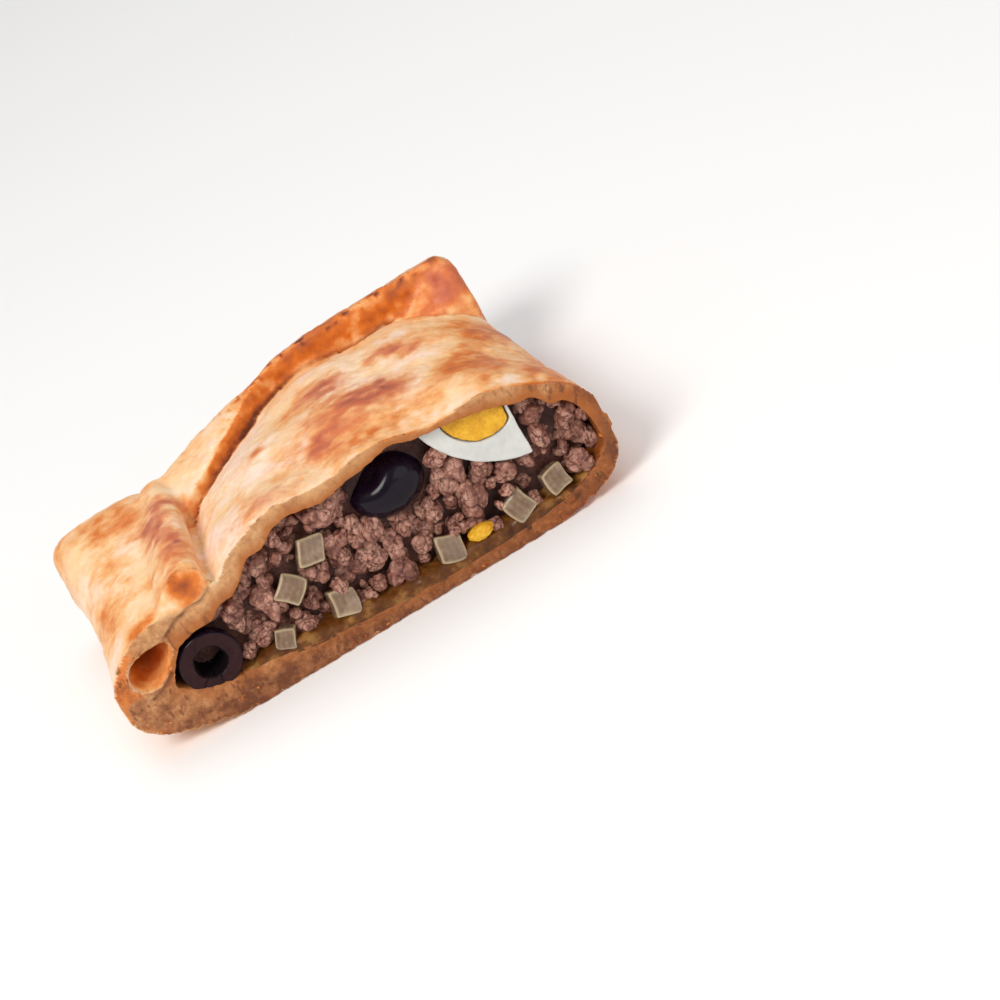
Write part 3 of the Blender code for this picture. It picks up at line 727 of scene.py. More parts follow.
def hollowRings(around, along, inset=0.0, front=-8 * mm):
    # sections of the room for the filling, drawn in by inset; the roof's lumps fade with depth
    turn = sectionTurns(around)
    low, rings = cavity["rim"], []
    for t in np.concatenate([[front / caseDepth], np.sin(np.linspace(0.02, math.pi / 2, along))]):
        left, right = cavity["left"] + inset, cavity["right"] - inset - 6 * mm * smoothStep(t)
        softness = np.where(np.cos(turn) < 0, 1.7, 2.6)
        softness = np.where(np.sin(turn) < 0, 3.0, softness)
        x = (left + right) / 2 + (right - left) / 2 * signedPower(np.cos(turn), 2 / softness)
        depth = (backEdge(x) * cavity["share"] - inset) * t
        high = signedPower(np.sin(turn), 2 / softness)
        fall = hollowFall(x, max(t, 0.0))
        lumpy = readTable(cavity["roof"], x) * mm * np.clip(3 * high, 0, 1) * math.exp(-3 * max(t, 0))
        top = low + ((cavity["top"] - inset - low) * high + lumpy) * fall
        bottom = low + np.minimum(roomFloor(x, fall) + inset - low, 0) * -signedPower(high, 0.8)
        rings.append(np.stack([x, depth, np.where(high > 0, top, bottom)], axis=1))
    return np.array(rings)


def boxCutter(name, low, high):
    # a box between two corners
    corners = [(x, y, z) for x in (low[0], high[0]) for y in (low[1], high[1]) for z in (low[2], high[2])]
    faces = [(0, 1, 3, 2), (4, 6, 7, 5), (0, 4, 5, 1), (2, 3, 7, 6), (0, 2, 6, 4), (1, 5, 7, 3)]
    return turnOut(newPiece(name, corners, faces))


def pocketCutter():
    # a leaf-shaped hollow in the flap's fold, pointed at both ends and turned across the fold
    rows, around = 18, 28
    along, turn = np.meshgrid(np.linspace(0.02, 1, rows), np.linspace(0, 2 * math.pi, around, endpoint=False),
                              indexing="ij")
    middleX, middleZ, length, height, tilt = dough["pocket"]
    half = np.sqrt(1 - along ** 2) * mm
    across = length * half * signedPower(np.cos(turn), 1.15)
    up = height * half * np.sin(turn) * (1 - 0.35 * np.cos(turn))
    tilt = math.radians(tilt)
    x = middleX * mm + across * math.cos(tilt) - up * math.sin(tilt)
    z = middleZ * mm + across * math.sin(tilt) + up * math.cos(tilt)
    rings = np.stack([x, 13 * mm * along, z], axis=-1)
    front = rings[0].copy()
    front[:, 1] = -9 * mm
    return turnOut(loftedPiece("pocketCutter", [np.concatenate([front[None], rings])]))


def makeCrust():
    # the folds welded into one body, hollowed, and cut flat by the knife and the tray
    folds = [bodyRings(180, 60), hemRings(72, 70), flapRings(72, 50), beadRings(28, 50), earRings(48, 26)]
    crust = loftedPiece("dough_case", folds)
    remesh(crust, dough["coarse"], 2)
    side = 2 * caseWidth
    cutters = [
        turnOut(loftedPiece("hollowCutter", [hollowRings(200, 24)])),
        pocketCutter(),
        boxCutter("knifeCutter", (-side, -side, -side), (side, 0.0, side)),
        boxCutter("trayCutter", (-side, -side, -side), (side, side, 0.0)),
    ]
    for cutter in cutters:
        cutAway(crust, cutter)
    bake(crust)
    for cutter in cutters:
        bpy.data.objects.remove(cutter)
    remesh(crust, dough["grain"], 1)
    bake(crust)
    points = readPoints(crust)
    points[:, 1] += cutY
    writePoints(crust, points)
    return crust


def inHollow(x, depth, z, grow):
    # which points are in the filling's room or nearer to it than grow, as in hollowRings
    low, t = cavity["rim"], np.clip(depth / (backEdge(x) * cavity["share"]), 0, 1)
    left, right = cavity["left"] - grow, cavity["right"] + grow - 6 * mm * smoothStep(t)
    across = np.clip(np.abs(2 * x - left - right) / (right - left), 0, 1)
    softness = np.where(2 * x < left + right, 1.7, 2.6)
    fall = hollowFall(x, t)
    lumpy = readTable(cavity["roof"], x) * mm * np.exp(-3 * t)
    top = low + ((cavity["top"] - low) * arch(across, softness) + lumpy) * fall + grow
    foot = roomFloor(x, fall) - grow
    return (across < 1) & (z < top) & (z > foot) & (depth < backEdge(x) * cavity["share"] + grow)


def inPocket(x, depth, z, grow):
    # which points are in the pocket's leaf shape grown by that much
    middleX, middleZ, length, height, tilt = dough["pocket"]
    tilt = math.radians(tilt)
    a, b = x - middleX * mm, z - middleZ * mm
    across, up = a * math.cos(tilt) + b * math.sin(tilt), b * math.cos(tilt) - a * math.sin(tilt)
    size = (across / (length * mm + grow)) ** 2 + (up / (height * mm + grow)) ** 2
    return (size < 1) & (depth < 14 * mm)


def spotSums(x, depth):
    # how baked and how blistered the browned places make each point; the strongest place wins
    browningAndShade, blister = np.zeros(len(x)), np.zeros(len(x))
    for across, far, length, width, turn, isBaked, isBlistered in dough["spots"]:
        a, c, w = x - across * mm, math.cos(math.radians(turn)), math.sin(math.radians(turn))
        b = depth - far * mm
        u, v = (a * c + b * w) / (length * mm), (b * c - a * w) / (width * mm)
        share = np.exp(-(0.66 * (u * u + v * v)) ** 1.05)
        browningAndShade = np.maximum(browningAndShade, isBaked * share)
        blister = np.maximum(blister, isBlistered * share)
    return browningAndShade, blister


def streaks(x, depth, z, seed):
    # long soft streaks down the slopes of the crust, between 0 and 1
    at = np.stack([(x - 0.3 * depth) / 5.5, (depth + 0.3 * x) / 15, z / 9], axis=1)
    fine = np.stack([(x - 0.3 * depth) / 2.2, (depth + 0.3 * x) / 6, z / 4], axis=1)
    return 0.5 + 0.34 * softNoise(at, mm, seed) + 0.16 * softNoise(fine, mm, seed + 1)


def hemShare(x, depth):
    # 1 on the hem, 0 on the lid
    return rise(depth - hemFront(x), -2.4, 0.8) * rise(x - flapEdge(depth), 0.5, 1)


def foldLines(x, depth):
    # how near a point is to the lines under the hem, under the ear, beside the flap, behind the ear
    under = ridge(depth - hemFront(x), -1.9, 0.7) * rise(x, -30, 3) * drop(x, 36, 3)
    ear = ridge(depth - earLine(x), 0, 0.7) * rise(x, 36, 2) * drop(x, 53, 3)
    beside = ridge(x - flapEdge(depth), 0.6, 0.8) * drop(depth, 50, 6)
    behind = ridge(depth, 70.8, 0.6) * rise(x, 35, 2) * drop(x, 51, 3)
    return under, ear, beside, behind


def seamShare(x, z):
    # 1 on the line where the flap's layer lies on the lid's, seen in the cut, and 0 away from it
    best = np.full(len(x), 1.0)
    for line in dough["seams"]:
        for (x0, z0), (x1, z1) in zip(np.array(line[:-1]) * mm, np.array(line[1:]) * mm):
            along = ((x - x0) * (x1 - x0) + (z - z0) * (z1 - z0)) / ((x1 - x0) ** 2 + (z1 - z0) ** 2)
            along = np.clip(along, 0, 1)
            best = np.minimum(best, np.hypot(x - x0 - along * (x1 - x0), z - z0 - along * (z1 - z0)))
    return ridge(best, 0, 0.45)


skin = {
    # how far the lines under the hem, under the ear, beside the flap and behind the ear are pressed in
    "folds": (0.6 * mm, 1.2 * mm, 0.6 * mm, 0.5 * mm),
    "blister": 0.25 * mm, "blisterRough": 0.22 * mm, "blisterSize": 1.6 * mm,
    # soft unevenness: size, height and seed
    "waves": ((3.5 * mm, 0.16 * mm, 62), (1.4 * mm, 0.09 * mm, 63)),
    "crease": 0.18 * mm, "creaseSize": 3.2 * mm,
    "under": 0.32 * mm, "clear": 0.05 * mm,
    # the cut: how uneven, how deep the seams, how torn along its lower edge
    "uneven": 0.25 * mm, "seam": 0.9 * mm, "torn": 0.45 * mm,
    # how far ahead of the skin the room is looked for
    "look": 1.4 * mm,
}


def inRoom(points, normals, grow):
    # which points face the filling's room
    ahead = points + skin["look"] * normals
    return inHollow(ahead[:, 0], ahead[:, 1] - cutY, ahead[:, 2], grow)


def wrinkle(points, normals):
    # moves the bare crust: fold lines pressed in, blisters raised, skin creased, cut face pitted
    x, depth, z = points[:, 0], points[:, 1] - cutY, points[:, 2]
    top = smoothStep((normals[:, 2] + 0.1) / 0.4)
    room = inRoom(points, normals, 0.2 * mm) & (depth > 0.1 * mm)
    room |= inPocket(x, depth, z, 0.5 * mm) & (depth > 0.4 * mm)
    cut = smoothStep((-normals[:, 1] - 0.6) / 0.25) * (depth < 0.9 * mm)
    under, *others = foldLines(x, depth)
    push = spotSums(x, depth)[1] * top
    push = push * (skin["blister"] + skin["blisterRough"] * softNoise(points, skin["blisterSize"], 61))
    for fold, pressed in zip((under * drop(z, 30, 1.5), *others), skin["folds"]):
        push -= pressed * fold * top
    for size, high, seed in skin["waves"]:
        push += high * softNoise(points, size, seed)
    push -= skin["crease"] * creases(points * np.array([1, 0.45, 1]), skin["creaseSize"], 64) + skin["under"]
    moved = points + normals * (push * (1 - cut) * ~room)[:, None]
    ragged = softNoise(points, 1.3 * mm, 66) + 0.6 * softNoise(points, 0.7 * mm, 67)
    moved[:, 1] += cut * (skin["uneven"] * (1 + ragged) + skin["seam"] * seamShare(x, z))
    edge = drop(depth, 2.2, 2) * (1 - 0.6 * top) * ~room
    moved[:, 2] += np.where(z < 3 * mm, skin["torn"] * np.clip(ragged, 0, 2) * edge, 0)
    clear = skin["clear"]
    low = (caseLow.x + clear, caseLow.y, 0)
    high = (caseHigh.x - clear, caseHigh.y - clear, caseHigh.z - clear)
    return np.clip(moved, low, high)


def browningAndShadeShare(points, normals, spots, top, deep):
    # how far each place has browned, from 0 to 1 and beyond, with painted shade added along the fold lines
    # and the hem
    x, depth, z = points[:, 0], points[:, 1] - cutY, points[:, 2]
    fromHem, hem = depth - hemFront(x), hemShare(x, depth)
    clouds = softNoise(points, 3.4 * mm, 74) + 0.6 * softNoise(points, 1.5 * mm, 76)
    # streaks all over, more to the right, less on the lid's left, and the browned places
    browningAndShade = 0.13 + 0.62 * (streaks(x, depth, z, 71) - 0.42) * (0.6 + 0.4 * rise(x, -30, 30))
    browningAndShade += 0.15 * rise(x, 36, 12) * drop(depth, 60, 6)
    browningAndShade -= 0.15 * (1 - rise(x, -26, 28)) * rise(x - flapEdge(depth), 0, 1) * drop(fromHem, -2, 1)
    browningAndShade += 0.13 * rise(depth - readTable(dough["earBrown"], x) * mm, 0, 2) * rise(x, 37, 4)
    browningAndShade = np.maximum(browningAndShade, 0) + spots * top
    # the hem's front wall, browned and partly painted shade where it faces into the crease, and the line at
    # its foot, painted shade
    sideways = np.maximum(-normals[:, 1], 0.72 * normals[:, 0] - 0.69 * normals[:, 1])
    below = drop(z - hemTop(x), -1, 2.2) * drop(fromHem, 5, 2)
    wall = hem * np.maximum(smoothStep((sideways - 0.25) / 0.35), 0.8 * below) * rise(x, -31, 16)
    browningAndShade = np.maximum(browningAndShade, wall * (0.60 - 0.12 * rise(x, 14, 10) + 0.14 * clouds))
    browningAndShade += 0.24 * ridge(fromHem, -1.3, 1.1) * drop(z, 31, 2) * rise(x, -28, 3) * drop(x, 2, 8) * top
    # the right part of the hem, with dark specks along its crest
    right = hem * rise(x, -18, 20)
    browningAndShade = np.maximum(browningAndShade, right * (0.36 + 0.3 * streaks(x, depth, z, 75) + 0.08 * clouds))
    specks = np.clip(softNoise(points, 1.1 * mm, 82) - 0.25, 0, 1)
    browningAndShade += 1.1 * right * specks * ridge(z - hemTop(x), -0.4, 1.2)
    # low on the walls, on the right wall and underneath
    browningAndShade += 0.22 * drop(z, 9, 8) + 0.2 * (1 - top) * rise(x, 20, 30)
    browningAndShade = np.where(normals[:, 2] < -0.6, 0.5 + 0.25 * (streaks(x, depth, z, 77) - 0.5), browningAndShade)
    # the fold lines, darkened as painted shade, the pocket's inside and the lid's brink at the cut
    under, ear, beside, behind = foldLines(x, depth)
    shade = (0.3 - 0.2 * rise(x, 4, 8)) * np.maximum(under * drop(z, 30.5, 1.5), ear)
    browningAndShade += (shade + 0.1 * beside + 0.1 * behind) * top
    browningAndShade = np.where(deep > 0, 0.38 + 0.25 * streaks(x, depth, z, 78), browningAndShade)
    return browningAndShade + 0.22 * drop(depth, 1.6, 1) * rise(x, 8, 12) * (z > 12 * mm)


def creaseShadeShare(points, top, cut):
    # painted shade: the dark lines where one fold lies on another, and along the seams in the cut
    x, depth, z = points[:, 0], points[:, 1] - cutY, points[:, 2]
    line = ridge(depth - hemFront(x), -1.75, 0.55) * drop(z, 30.5, 1.5) * rise(x, -28, 2) * drop(x, 36, 3)
    for fold, share, width in zip(foldLines(x, depth)[1:], (0.8, 0.3, 0.2), (0.4, 0.3, 0.3)):
        line = np.maximum(line, share * bell((1 - fold) / width) * (fold > 0.1))
    line = line * (0.85 - 0.2 * rise(x, 4, 8)) * top * (z > 22 * mm)
    return np.maximum(line, 0.5 * seamShare(x, z) * cut * (depth < 3 * mm))


def edgeShare(points):
    # the toasted outer edge of the cut, by how near a point is to the case's outline
    x, z, rim, half = points[:, 0], points[:, 2], dough["rim"], caseWidth / 2
    outline = (np.abs(x) / half) ** 3.2 + (np.abs(rim - z) / rim) ** 3.2
    outline = np.where(z > rim, (np.abs(x) + 0.45 * (z - rim)) / half, outline)
    rough = 0.05 * softNoise(points, 2.2 * mm, 80) + 0.04 * softNoise(points, 0.9 * mm, 81)
    return 0.8 * smoothStep((outline + rough - 0.86) / 0.10) * (z < 27 * mm)


def maskCrust(piece):
    points, normals = readPoints(piece), readNormals(piece)
    x, depth, z = points[:, 0], points[:, 1] - cutY, points[:, 2]
    room = 1.0 * (inRoom(points, normals, 0.3 * mm) & (depth > 0.2 * mm))
    pocket = 1.0 * inPocket(x, depth, z, 0.6 * mm)
    deep = pocket * rise(depth, 0.5, 1)
    # the lip rolls over the cut, so it keeps its baked skin there
    rolled = rise(x, -49, 4) * drop(x, -27, 1) * rise(z - 0.25 * np.abs(x + 36 * mm), 27.5, 2) * (1 - room)
    top = np.maximum(smoothStep((normals[:, 2] + 0.2) / 0.5), rolled)
    facing = smoothStep((-normals[:, 1] - 0.35) / 0.35)
    cut = np.maximum(facing * (depth < 2.2 * mm) * (1 - rolled), room * (depth < 30 * mm)) * (1 - deep)
    near = np.mean([inHollow(x, depth, z, grow * mm) for grow in (0.9, 1.4, 1.9, 2.4, 2.9)], axis=0)
    patchy = 0.85 + 0.5 * softNoise(points, 2.6 * mm, 79)
    spots, blisters = (share * patchy for share in spotSums(x, depth))
    addMask(piece, "cut", cut)
    addMask(piece, "rind", 0.55 + 0.45 * rise(z, 22, 8) - 0.35 * drop(z, 9, 5) - 0.35 * rise(x, 34, 14))
    addMask(piece, "near", near * (0.4 + 0.45 * rise(z, 14, 6)))
    addMask(piece, "edge", edgeShare(points) * (1 - room))
    # the walls of the hollow and the pocket take more of the dark inside colour further in: painted shade
    addMask(piece, "inside", 0.8 * np.maximum(room * rise(depth, 2.5, 5), pocket * rise(depth, 6, 6)))
    addMask(piece, "browningAndShade", browningAndShadeShare(points, normals, spots, top, deep))
    addMask(piece, "blister", blisters * top)
    # painted shade in the fold lines and the seams
    addMask(piece, "crease", creaseShadeShare(points, top, cut))


print("dough case")
crust = makeCrust()
writePoints(crust, wrinkle(readPoints(crust), readNormals(crust)))
thin = crust.modifiers.new("thin", "DECIMATE")
thin.ratio = dough["keep"]
bake(crust)
maskCrust(crust)
finishPiece(crust, "baked_dough", makeDoughMaterial(), "crust")
print("dough case done,", len(crust.data.polygons), "faces")


def ballGrid(level):
    # directions and triangles of a ball of nearly even triangles
    form = bmesh.new()
    bmesh.ops.create_icosphere(form, subdivisions=level, radius=1.0)
    points = np.array([v.co[:] for v in form.verts])
    faces = np.array([[v.index for v in f.verts] for f in form.faces])
    form.free()
    return points, faces


def turnedProfile(profile, around, at):
    # rings about an axis along the depth, from pairs of radius and depth
    turn = np.linspace(0, 2 * math.pi, around, endpoint=False)
    circle = np.stack([np.cos(turn), np.zeros(around), np.sin(turn)], axis=1)
    return np.array([np.array(at) + radius * circle + (0, depth, 0) for radius, depth in profile])


# dice of onion lying in the cut face
onion = {
    "corner": 8.0, "bow": 0.25 * mm,
    # how each is turned, in degrees: about the depth, across and upright
    "turns": ((20, -24, 6), (42, -26, -4), (14, -20, 10), (18, -24, 6), (-20, -22, -4), (-8, -20, 6),
              (10, -18, -12)),
    "shares": (1.0, 1.0, 0.98, 1.0, 0.98, 0.9, 0.75), "side": 6.1 * mm,
    # where they stand in the cut: across and height
    "at": ((-8.5, 23.7), (-16.0, 18.0), (-8.0, 9.2), (17.0, 7.0), (34.3, 7.4), (43.6, 8.5), (-22.0, 9.3)),
}

# minced beef: larger lumps where they show, crumbs between them and a core behind, painted dark as shade
mince = {
    "seed": 11, "front": 0.3, "frontSpread": 3.8, "pits": 0.15 * mm, "coreFace": 5 * mm,
    # the larger lumps as they lie in the cut, in millimetres: across, height, half width, half height
    "lumps": (
        (-19.3, 27.0, 4.6, 4.0), (-28.3, 20.8, 3.3, 4.2), (-10.3, 31.6, 3.9, 2.4), (-2.6, 29.6, 4.4, 3.6),
        (1.6, 23.2, 2.4, 2.8), (-3.6, 19.9, 3.5, 5.0), (-21.1, 17.0, 3.0, 4.0), (-26.1, 12.2, 3.7, 3.8),
        (-9.4, 18.0, 2.8, 3.4), (-13.4, 12.2, 2.1, 2.8), (-16.8, 8.4, 3.0, 2.8), (1.7, 13.6, 5.3, 4.0),
        (5.1, 20.1, 2.6, 3.3), (10.9, 17.3, 3.5, 5.2), (5.9, 7.6, 3.7, 3.9), (12.5, 11.1, 3.0, 2.8),
        (17.7, 15.9, 3.3, 4.2), (23.5, 20.8, 5.1, 5.2), (23.4, 27.2, 3.2, 2.6), (27.1, 14.0, 4.0, 5.4),
        (30.9, 20.0, 2.5, 3.2), (34.9, 15.8, 2.7, 3.2), (40.3, 16.8, 2.4, 4.6), (44.5, 19.9, 2.4, 3.6),
        (45.4, 26.2, 3.7, 4.6), (51.0, 17.1, 3.5, 3.6), (49.4, 9.0, 3.9, 3.8), (20.9, 10.3, 2.5, 2.4),
        (-3.5, 6.6, 3.2, 2.6), (-6.7, 12.8, 1.9, 2.4), (7.5, 11.3, 1.8, 2.0), (-30.2, 11.3, 2.1, 2.8),
        (0.3, 8.6, 2.1, 2.4), (23.7, 9.7, 1.8, 2.0), (28.0, 6.6, 2.1, 1.8), (37.9, 7.0, 2.1, 1.8),
        (-13.9, 31.1, 2.1, 2.4), (54.0, 12.4, 2.2, 3.0)),
    "crumbs": 150, "crumbLow": 1.3, "crumbHigh": 3.0, "crumbDepth": 5.0,
    "crumbAcross": (-45, 55), "crumbUp": (5.5, 34.5),
    # lobes, from and below, plates that flatten them, and seeds of the patches that grooves part
    "knobs": (4, 8), "plates": 16, "patches": 26,
    # where the crumbs leave room: across, height and radius of the olives and the egg, and where
    # the egg's flat side stands
    "keepOut": ((12.6, 26.9, 9.2), (-37.9, 14.9, 8.0)), "eggRoom": (44.9, 40.9, 25.3), "eggSide": 44.0,
}


def unitRows(rows):
    return rows / np.linalg.norm(rows, axis=1, keepdims=True)


def furthest(directions, places, sizes):
    # how far each direction d reaches in a bundle of balls, r(d) = c.d + sqrt(s^2 - |c|^2 + (c.d)^2),
    # and how clearly one ball leads there, 0 in the fold between two
    along = directions @ places.T
    under = sizes ** 2 - (np.sum(places ** 2, axis=1) - along ** 2)
    reach = np.where(under > 0, along + np.sqrt(np.maximum(under, 0)), 0)
    ordered = np.sort(reach, axis=1)
    return ordered[:, -1], ordered[:, -1] - ordered[:, -2]


def knobblyShape(directions, draw, knobs):
    # a few lobes round a middle, flattened by plates, r(d) = (sum (n.d / h)^8)^(-1/8), and split by
    # narrow grooves halfway between neighbouring seeds; also how open each place is, 0 in a fold
    lobes = unitRows(draw.normal(size=(knobs, 3)))
    lobes *= draw.uniform(0.40, 0.62, (knobs, 1))
    sizes = draw.uniform(0.34, 0.52, knobs)
    reach, lead = furthest(directions, np.vstack([lobes, np.zeros(3)]), np.append(sizes, 0.62))
    plates = unitRows(draw.normal(size=(mince["plates"], 3)))
    facing = np.maximum(directions @ plates.T, 0.02) / draw.uniform(0.72, 1.0, mince["plates"])
    flat = np.sum(facing ** 8, axis=1) ** (-1 / 8)
    reach = np.minimum(reach, 0.98 * flat) * (0.6 + 0.4 * np.minimum(flat, 1.2))
    seeds = unitRows(draw.normal(size=(mince["patches"], 3)))
    near = np.sort(np.linalg.norm(directions[:, None] - seeds[None], axis=2), axis=1)[:, :2]
    seam = np.clip((near[:, 1] - near[:, 0]) / 0.09, 0, 1)
    reach = reach * (1 + 0.05 * np.clip(1 - (near[:, 0] / 0.45) ** 2, 0, 1) - 0.05 * (1 - seam))
    return directions * reach[:, None], np.minimum(np.clip(lead / 0.08, 0, 1), 0.35 + 0.65 * seam)


def knobblyPiece(name, places, level, seed, pits):
    # one mesh of many lumps; each has its own lobes, and a mask tells how deep its folds are, for the
    # material to darken them as painted shade
    directions, triangles = ballGrid(level)
    draw = np.random.default_rng(seed)
    points, faces, folds = [], [], []
    for count, (centre, half) in enumerate(places):
        axes = np.linalg.qr(draw.normal(size=(3, 3)))[0]
        shape, fold = knobblyShape(directions @ axes.T, draw, int(draw.integers(*mince["knobs"])))
        shape = shape @ axes
        shape = shape / np.abs(shape).max(axis=0) * np.array(half)
        out = unitRows(shape)
        shape = shape + np.array(centre)
        rough = softNoise(shape, 1.2 * mm, seed + 1) + 0.5 * softNoise(shape, 0.5 * mm, seed + 2)
        shape = shape + out * (pits * rough - 1.3 * pits * (1 - fold))[:, None]
        points.append(shape)
        faces.append(triangles + count * len(directions))
        folds.append(fold)
    piece = newPiece(name, np.concatenate(points), np.concatenate(faces).tolist())
    addMask(piece, "fold", 1 - np.concatenate(folds))
    return piece


def lumpPlaces():
    # centre and half sizes of each larger lump, at uneven depths behind the cut
    draw = np.random.default_rng(mince["seed"])
    places = []
    for x, z, halfWidth, halfHeight in mince["lumps"]:
        halfDepth = 0.5 * (halfWidth + halfHeight) * draw.uniform(0.85, 1.1)
        front = mince["front"] + mince["frontSpread"] * draw.uniform()
        at = (x * mm, cutY + (front + halfDepth) * mm, z * mm)
        places.append((at, np.array([halfWidth, halfDepth, halfHeight]) * 0.99 * mm))
    return places


def isFree(x, z, size, taken):
    # whether a crumb of that size fits in the room, clear of the other crumbs, the egg, the olives
    # and the onion
    def away(place):
        return math.hypot(x - place[0], z - place[1])

    side = (x - 5) / 52
    roof = 13 + 22 * arch(side, 2.6 if x > 5 else 2.1)
    return (5.0 + size + 6 * abs(side) ** 6 <= z <= roof - size
            and all(away(other) >= 0.95 * (size + other[2]) for other in taken[-50:])
            and (away(mince["eggRoom"]) >= mince["eggRoom"][2] or x >= mince["eggSide"])
            and all(away(other) >= other[2] + 0.5 * size for other in mince["keepOut"])
            and all(away(other) >= 2.4 + 0.8 * size for other in onion["at"]))


def crumbPlaces():
    # small crumbs between and behind the lumps, spread evenly over the cut
    draw = np.random.default_rng(mince["seed"] + 1)
    places, taken = [], []
    while len(places) < mince["crumbs"]:
        x, z = draw.uniform(*mince["crumbAcross"]), draw.uniform(*mince["crumbUp"])
        size = draw.uniform(mince["crumbLow"], mince["crumbHigh"])
        if not isFree(x, z, size, taken):
            continue
        taken.append((x, z, size))
        depth = 1.8 + size + draw.uniform() ** 1.1 * mince["crumbDepth"]
        half = size * draw.uniform(0.8, 1.25, 3)
        places.append(((x * mm, cutY + depth * mm, z * mm), half * mm))
    return places


def makeMinceMaterial():
    made, tree, shader = newMaterial(
        "cookedMince", Roughness=0.55, Specular_IOR_Level=0.3, Subsurface_Weight=0.1, Subsurface_Scale=0.001,
        Subsurface_Radius=(1.0, 0.4, 0.25), Coat_Weight=0.04, Coat_Roughness=0.3)
    cloudy, height = addMottle(tree, 260.0, 1500.0, 0.45)
    fold = readMask(tree, "fold")
    # painted shade: the colour darkens towards the folds between lobes
    colour = ramp(tree, plus(tree, cloudy, times(tree, fold, -0.22)), (
        (0.25, (0.11, 0.036, 0.026)), (0.42, (0.27, 0.110, 0.078)), (0.56, (0.51, 0.27, 0.20))))
    # patchy cracks along the edges of cells whose pattern is shaken by the finer noise, darkened as painted
    # shade
    at = node(tree, "ShaderNodeTexCoord").outputs["Object"]
    shake = node(tree, "ShaderNodeVectorMath", {0: height, 1: (0.0014,) * 3}, operation="MULTIPLY")
    at = node(tree, "ShaderNodeVectorMath", {0: at, 1: shake.outputs[0]}, operation="ADD").outputs[0]
    cells = node(tree, "ShaderNodeTexVoronoi", {"Vector": at, "Scale": 430.0}, feature="DISTANCE_TO_EDGE")
    patchy = spread(tree, cloudy, 0.44, 0.54, 0.15, 1.0)
    crack = times(tree, spread(tree, cells.outputs[0], 0.0, 0.08, 1.0, 0.0), patchy)
    # painted shade: the folds and the cracks go near-black
    dark = maths(tree, "MAXIMUM", spread(tree, fold, 0.45, 1.0, 0.0, 0.95), times(tree, crack, 0.7))
    tree.links.new(mixed(tree, dark, colour, (0.030, 0.008, 0.006)), shader.inputs["Base Color"])
    addBump(tree, shader, maths(tree, "SUBTRACT", height, times(tree, crack, 0.5)), 0.6, 0.0004)
    return made


def makeCore():
    # what lies behind the lumps: the heap drawn in, with a rough face painted dark as shade
    face = mince["coreFace"]
    rings = hollowRings(120, 24, inset=0.5 * mm, front=face)
    rings[0, :, 1] = face + 0.5 * mm
    rings[1:, :, 1] = np.maximum(rings[1:, :, 1], face + mm)
    core = turnOut(loftedPiece("mince_core", [rings]))
    remesh(core, 1.1 * mm, 2)
    bake(core)
    points, normals = readPoints(core), readNormals(core)
    rough = softNoise(points, 5 * mm, 3) + 0.5 * softNoise(points, 2.2 * mm, 4)
    points = points + normals * (0.9 * mm * (rough - 1.2))[:, None]
    points[:, 1] = np.maximum(points[:, 1], face) + cutY
    writePoints(core, points)
    # the fold mask, near 1 all over, paints the core dark as shade
    addMask(core, "fold", 0.8 + 0.25 * rough)
    return core


print("mince")
minceLook = makeMinceMaterial()
finishPiece(makeCore(), "cooked_mince", minceLook, "filling")
lumps = knobblyPiece("mince_lumps", lumpPlaces(), 4, mince["seed"], mince["pits"])
finishPiece(lumps, "cooked_mince", minceLook)
crumbs = knobblyPiece("mince_crumbs", crumbPlaces(), 3, mince["seed"] + 5, 0.8 * mince["pits"])
finishPiece(crumbs, "cooked_mince", minceLook)


def cubeGrid(steps):
    # points of a cube's six faces, each a square grid, and their quads
    line = np.linspace(-1, 1, steps)
    a, b = np.meshgrid(line, line, indexing="ij")
    one = np.ones_like(a)
    index = np.arange(steps * steps).reshape(steps, steps)
    quad = np.stack([index[:-1, :-1], index[1:, :-1], index[1:, 1:], index[:-1, 1:]], -1).reshape(-1, 4)
    points, faces = [], []
    for axis in range(3):
        for sign in (-1, 1):
            planes = [a, b * sign, one * sign]
            face = np.stack(planes[-axis:] + planes[:-axis] if axis else planes, axis=-1)
            points.append(face.reshape(-1, 3))
            faces.append(quad + len(faces) * steps * steps)
    return np.concatenate(points), np.concatenate(faces)


def makeOnion():
    # rounded cubes, (|x|^n + |y|^n + |z|^n) = 1, a little bowed, turned and set in the cut
    grid, quads = cubeGrid(15)
    out, power = unitRows(grid), onion["corner"]
    rounded = out / np.sum(np.abs(out) ** power, axis=1, keepdims=True) ** (1 / power)
    nearEdge = np.sort(np.abs(grid), axis=1)[:, 1]
    points, faces, layers = [], [], []
    dice = zip(onion["turns"], onion["shares"], onion["at"])
    for number, (turns, share, (across, high)) in enumerate(dice):
        half = 0.5 * share * onion["side"]
        bow = onion["bow"] * np.stack([
            np.sin(2.1 * rounded[:, 2] + number), 0.6 * np.sin(2.0 * rounded[:, 0] + 2 * number),
            np.sin(1.7 * rounded[:, 0] + 1.5 * number)], axis=1)
        shape = half * rounded * np.array([1.0, 0.96, 1.04]) * 0.97 + bow
        turned = Matrix.Identity(3)
        for angle, axis in zip(turns, "YXZ"):
            turned = Matrix.Rotation(math.radians(angle), 3, axis) @ turned
        shape = shape @ np.array(turned).T + np.array((across, 0.0, high)) * mm
        shape[:, 1] += cutY + 0.3 * mm - shape[:, 1].min()
        points.append(shape)
        faces.append(quads + number * len(grid))
        layers.append(0.5 + 0.5 * rounded[:, 0])
    piece = newPiece("onion_dice", np.concatenate(points), np.concatenate(faces).tolist())
    addMask(piece, "layer", np.concatenate(layers))
    # painted highlight: the rim mask lightens each dice along its edges
    addMask(piece, "rim", np.tile(smoothStep((nearEdge - 0.78) / 0.2), len(points)))
    return turnOut(piece)


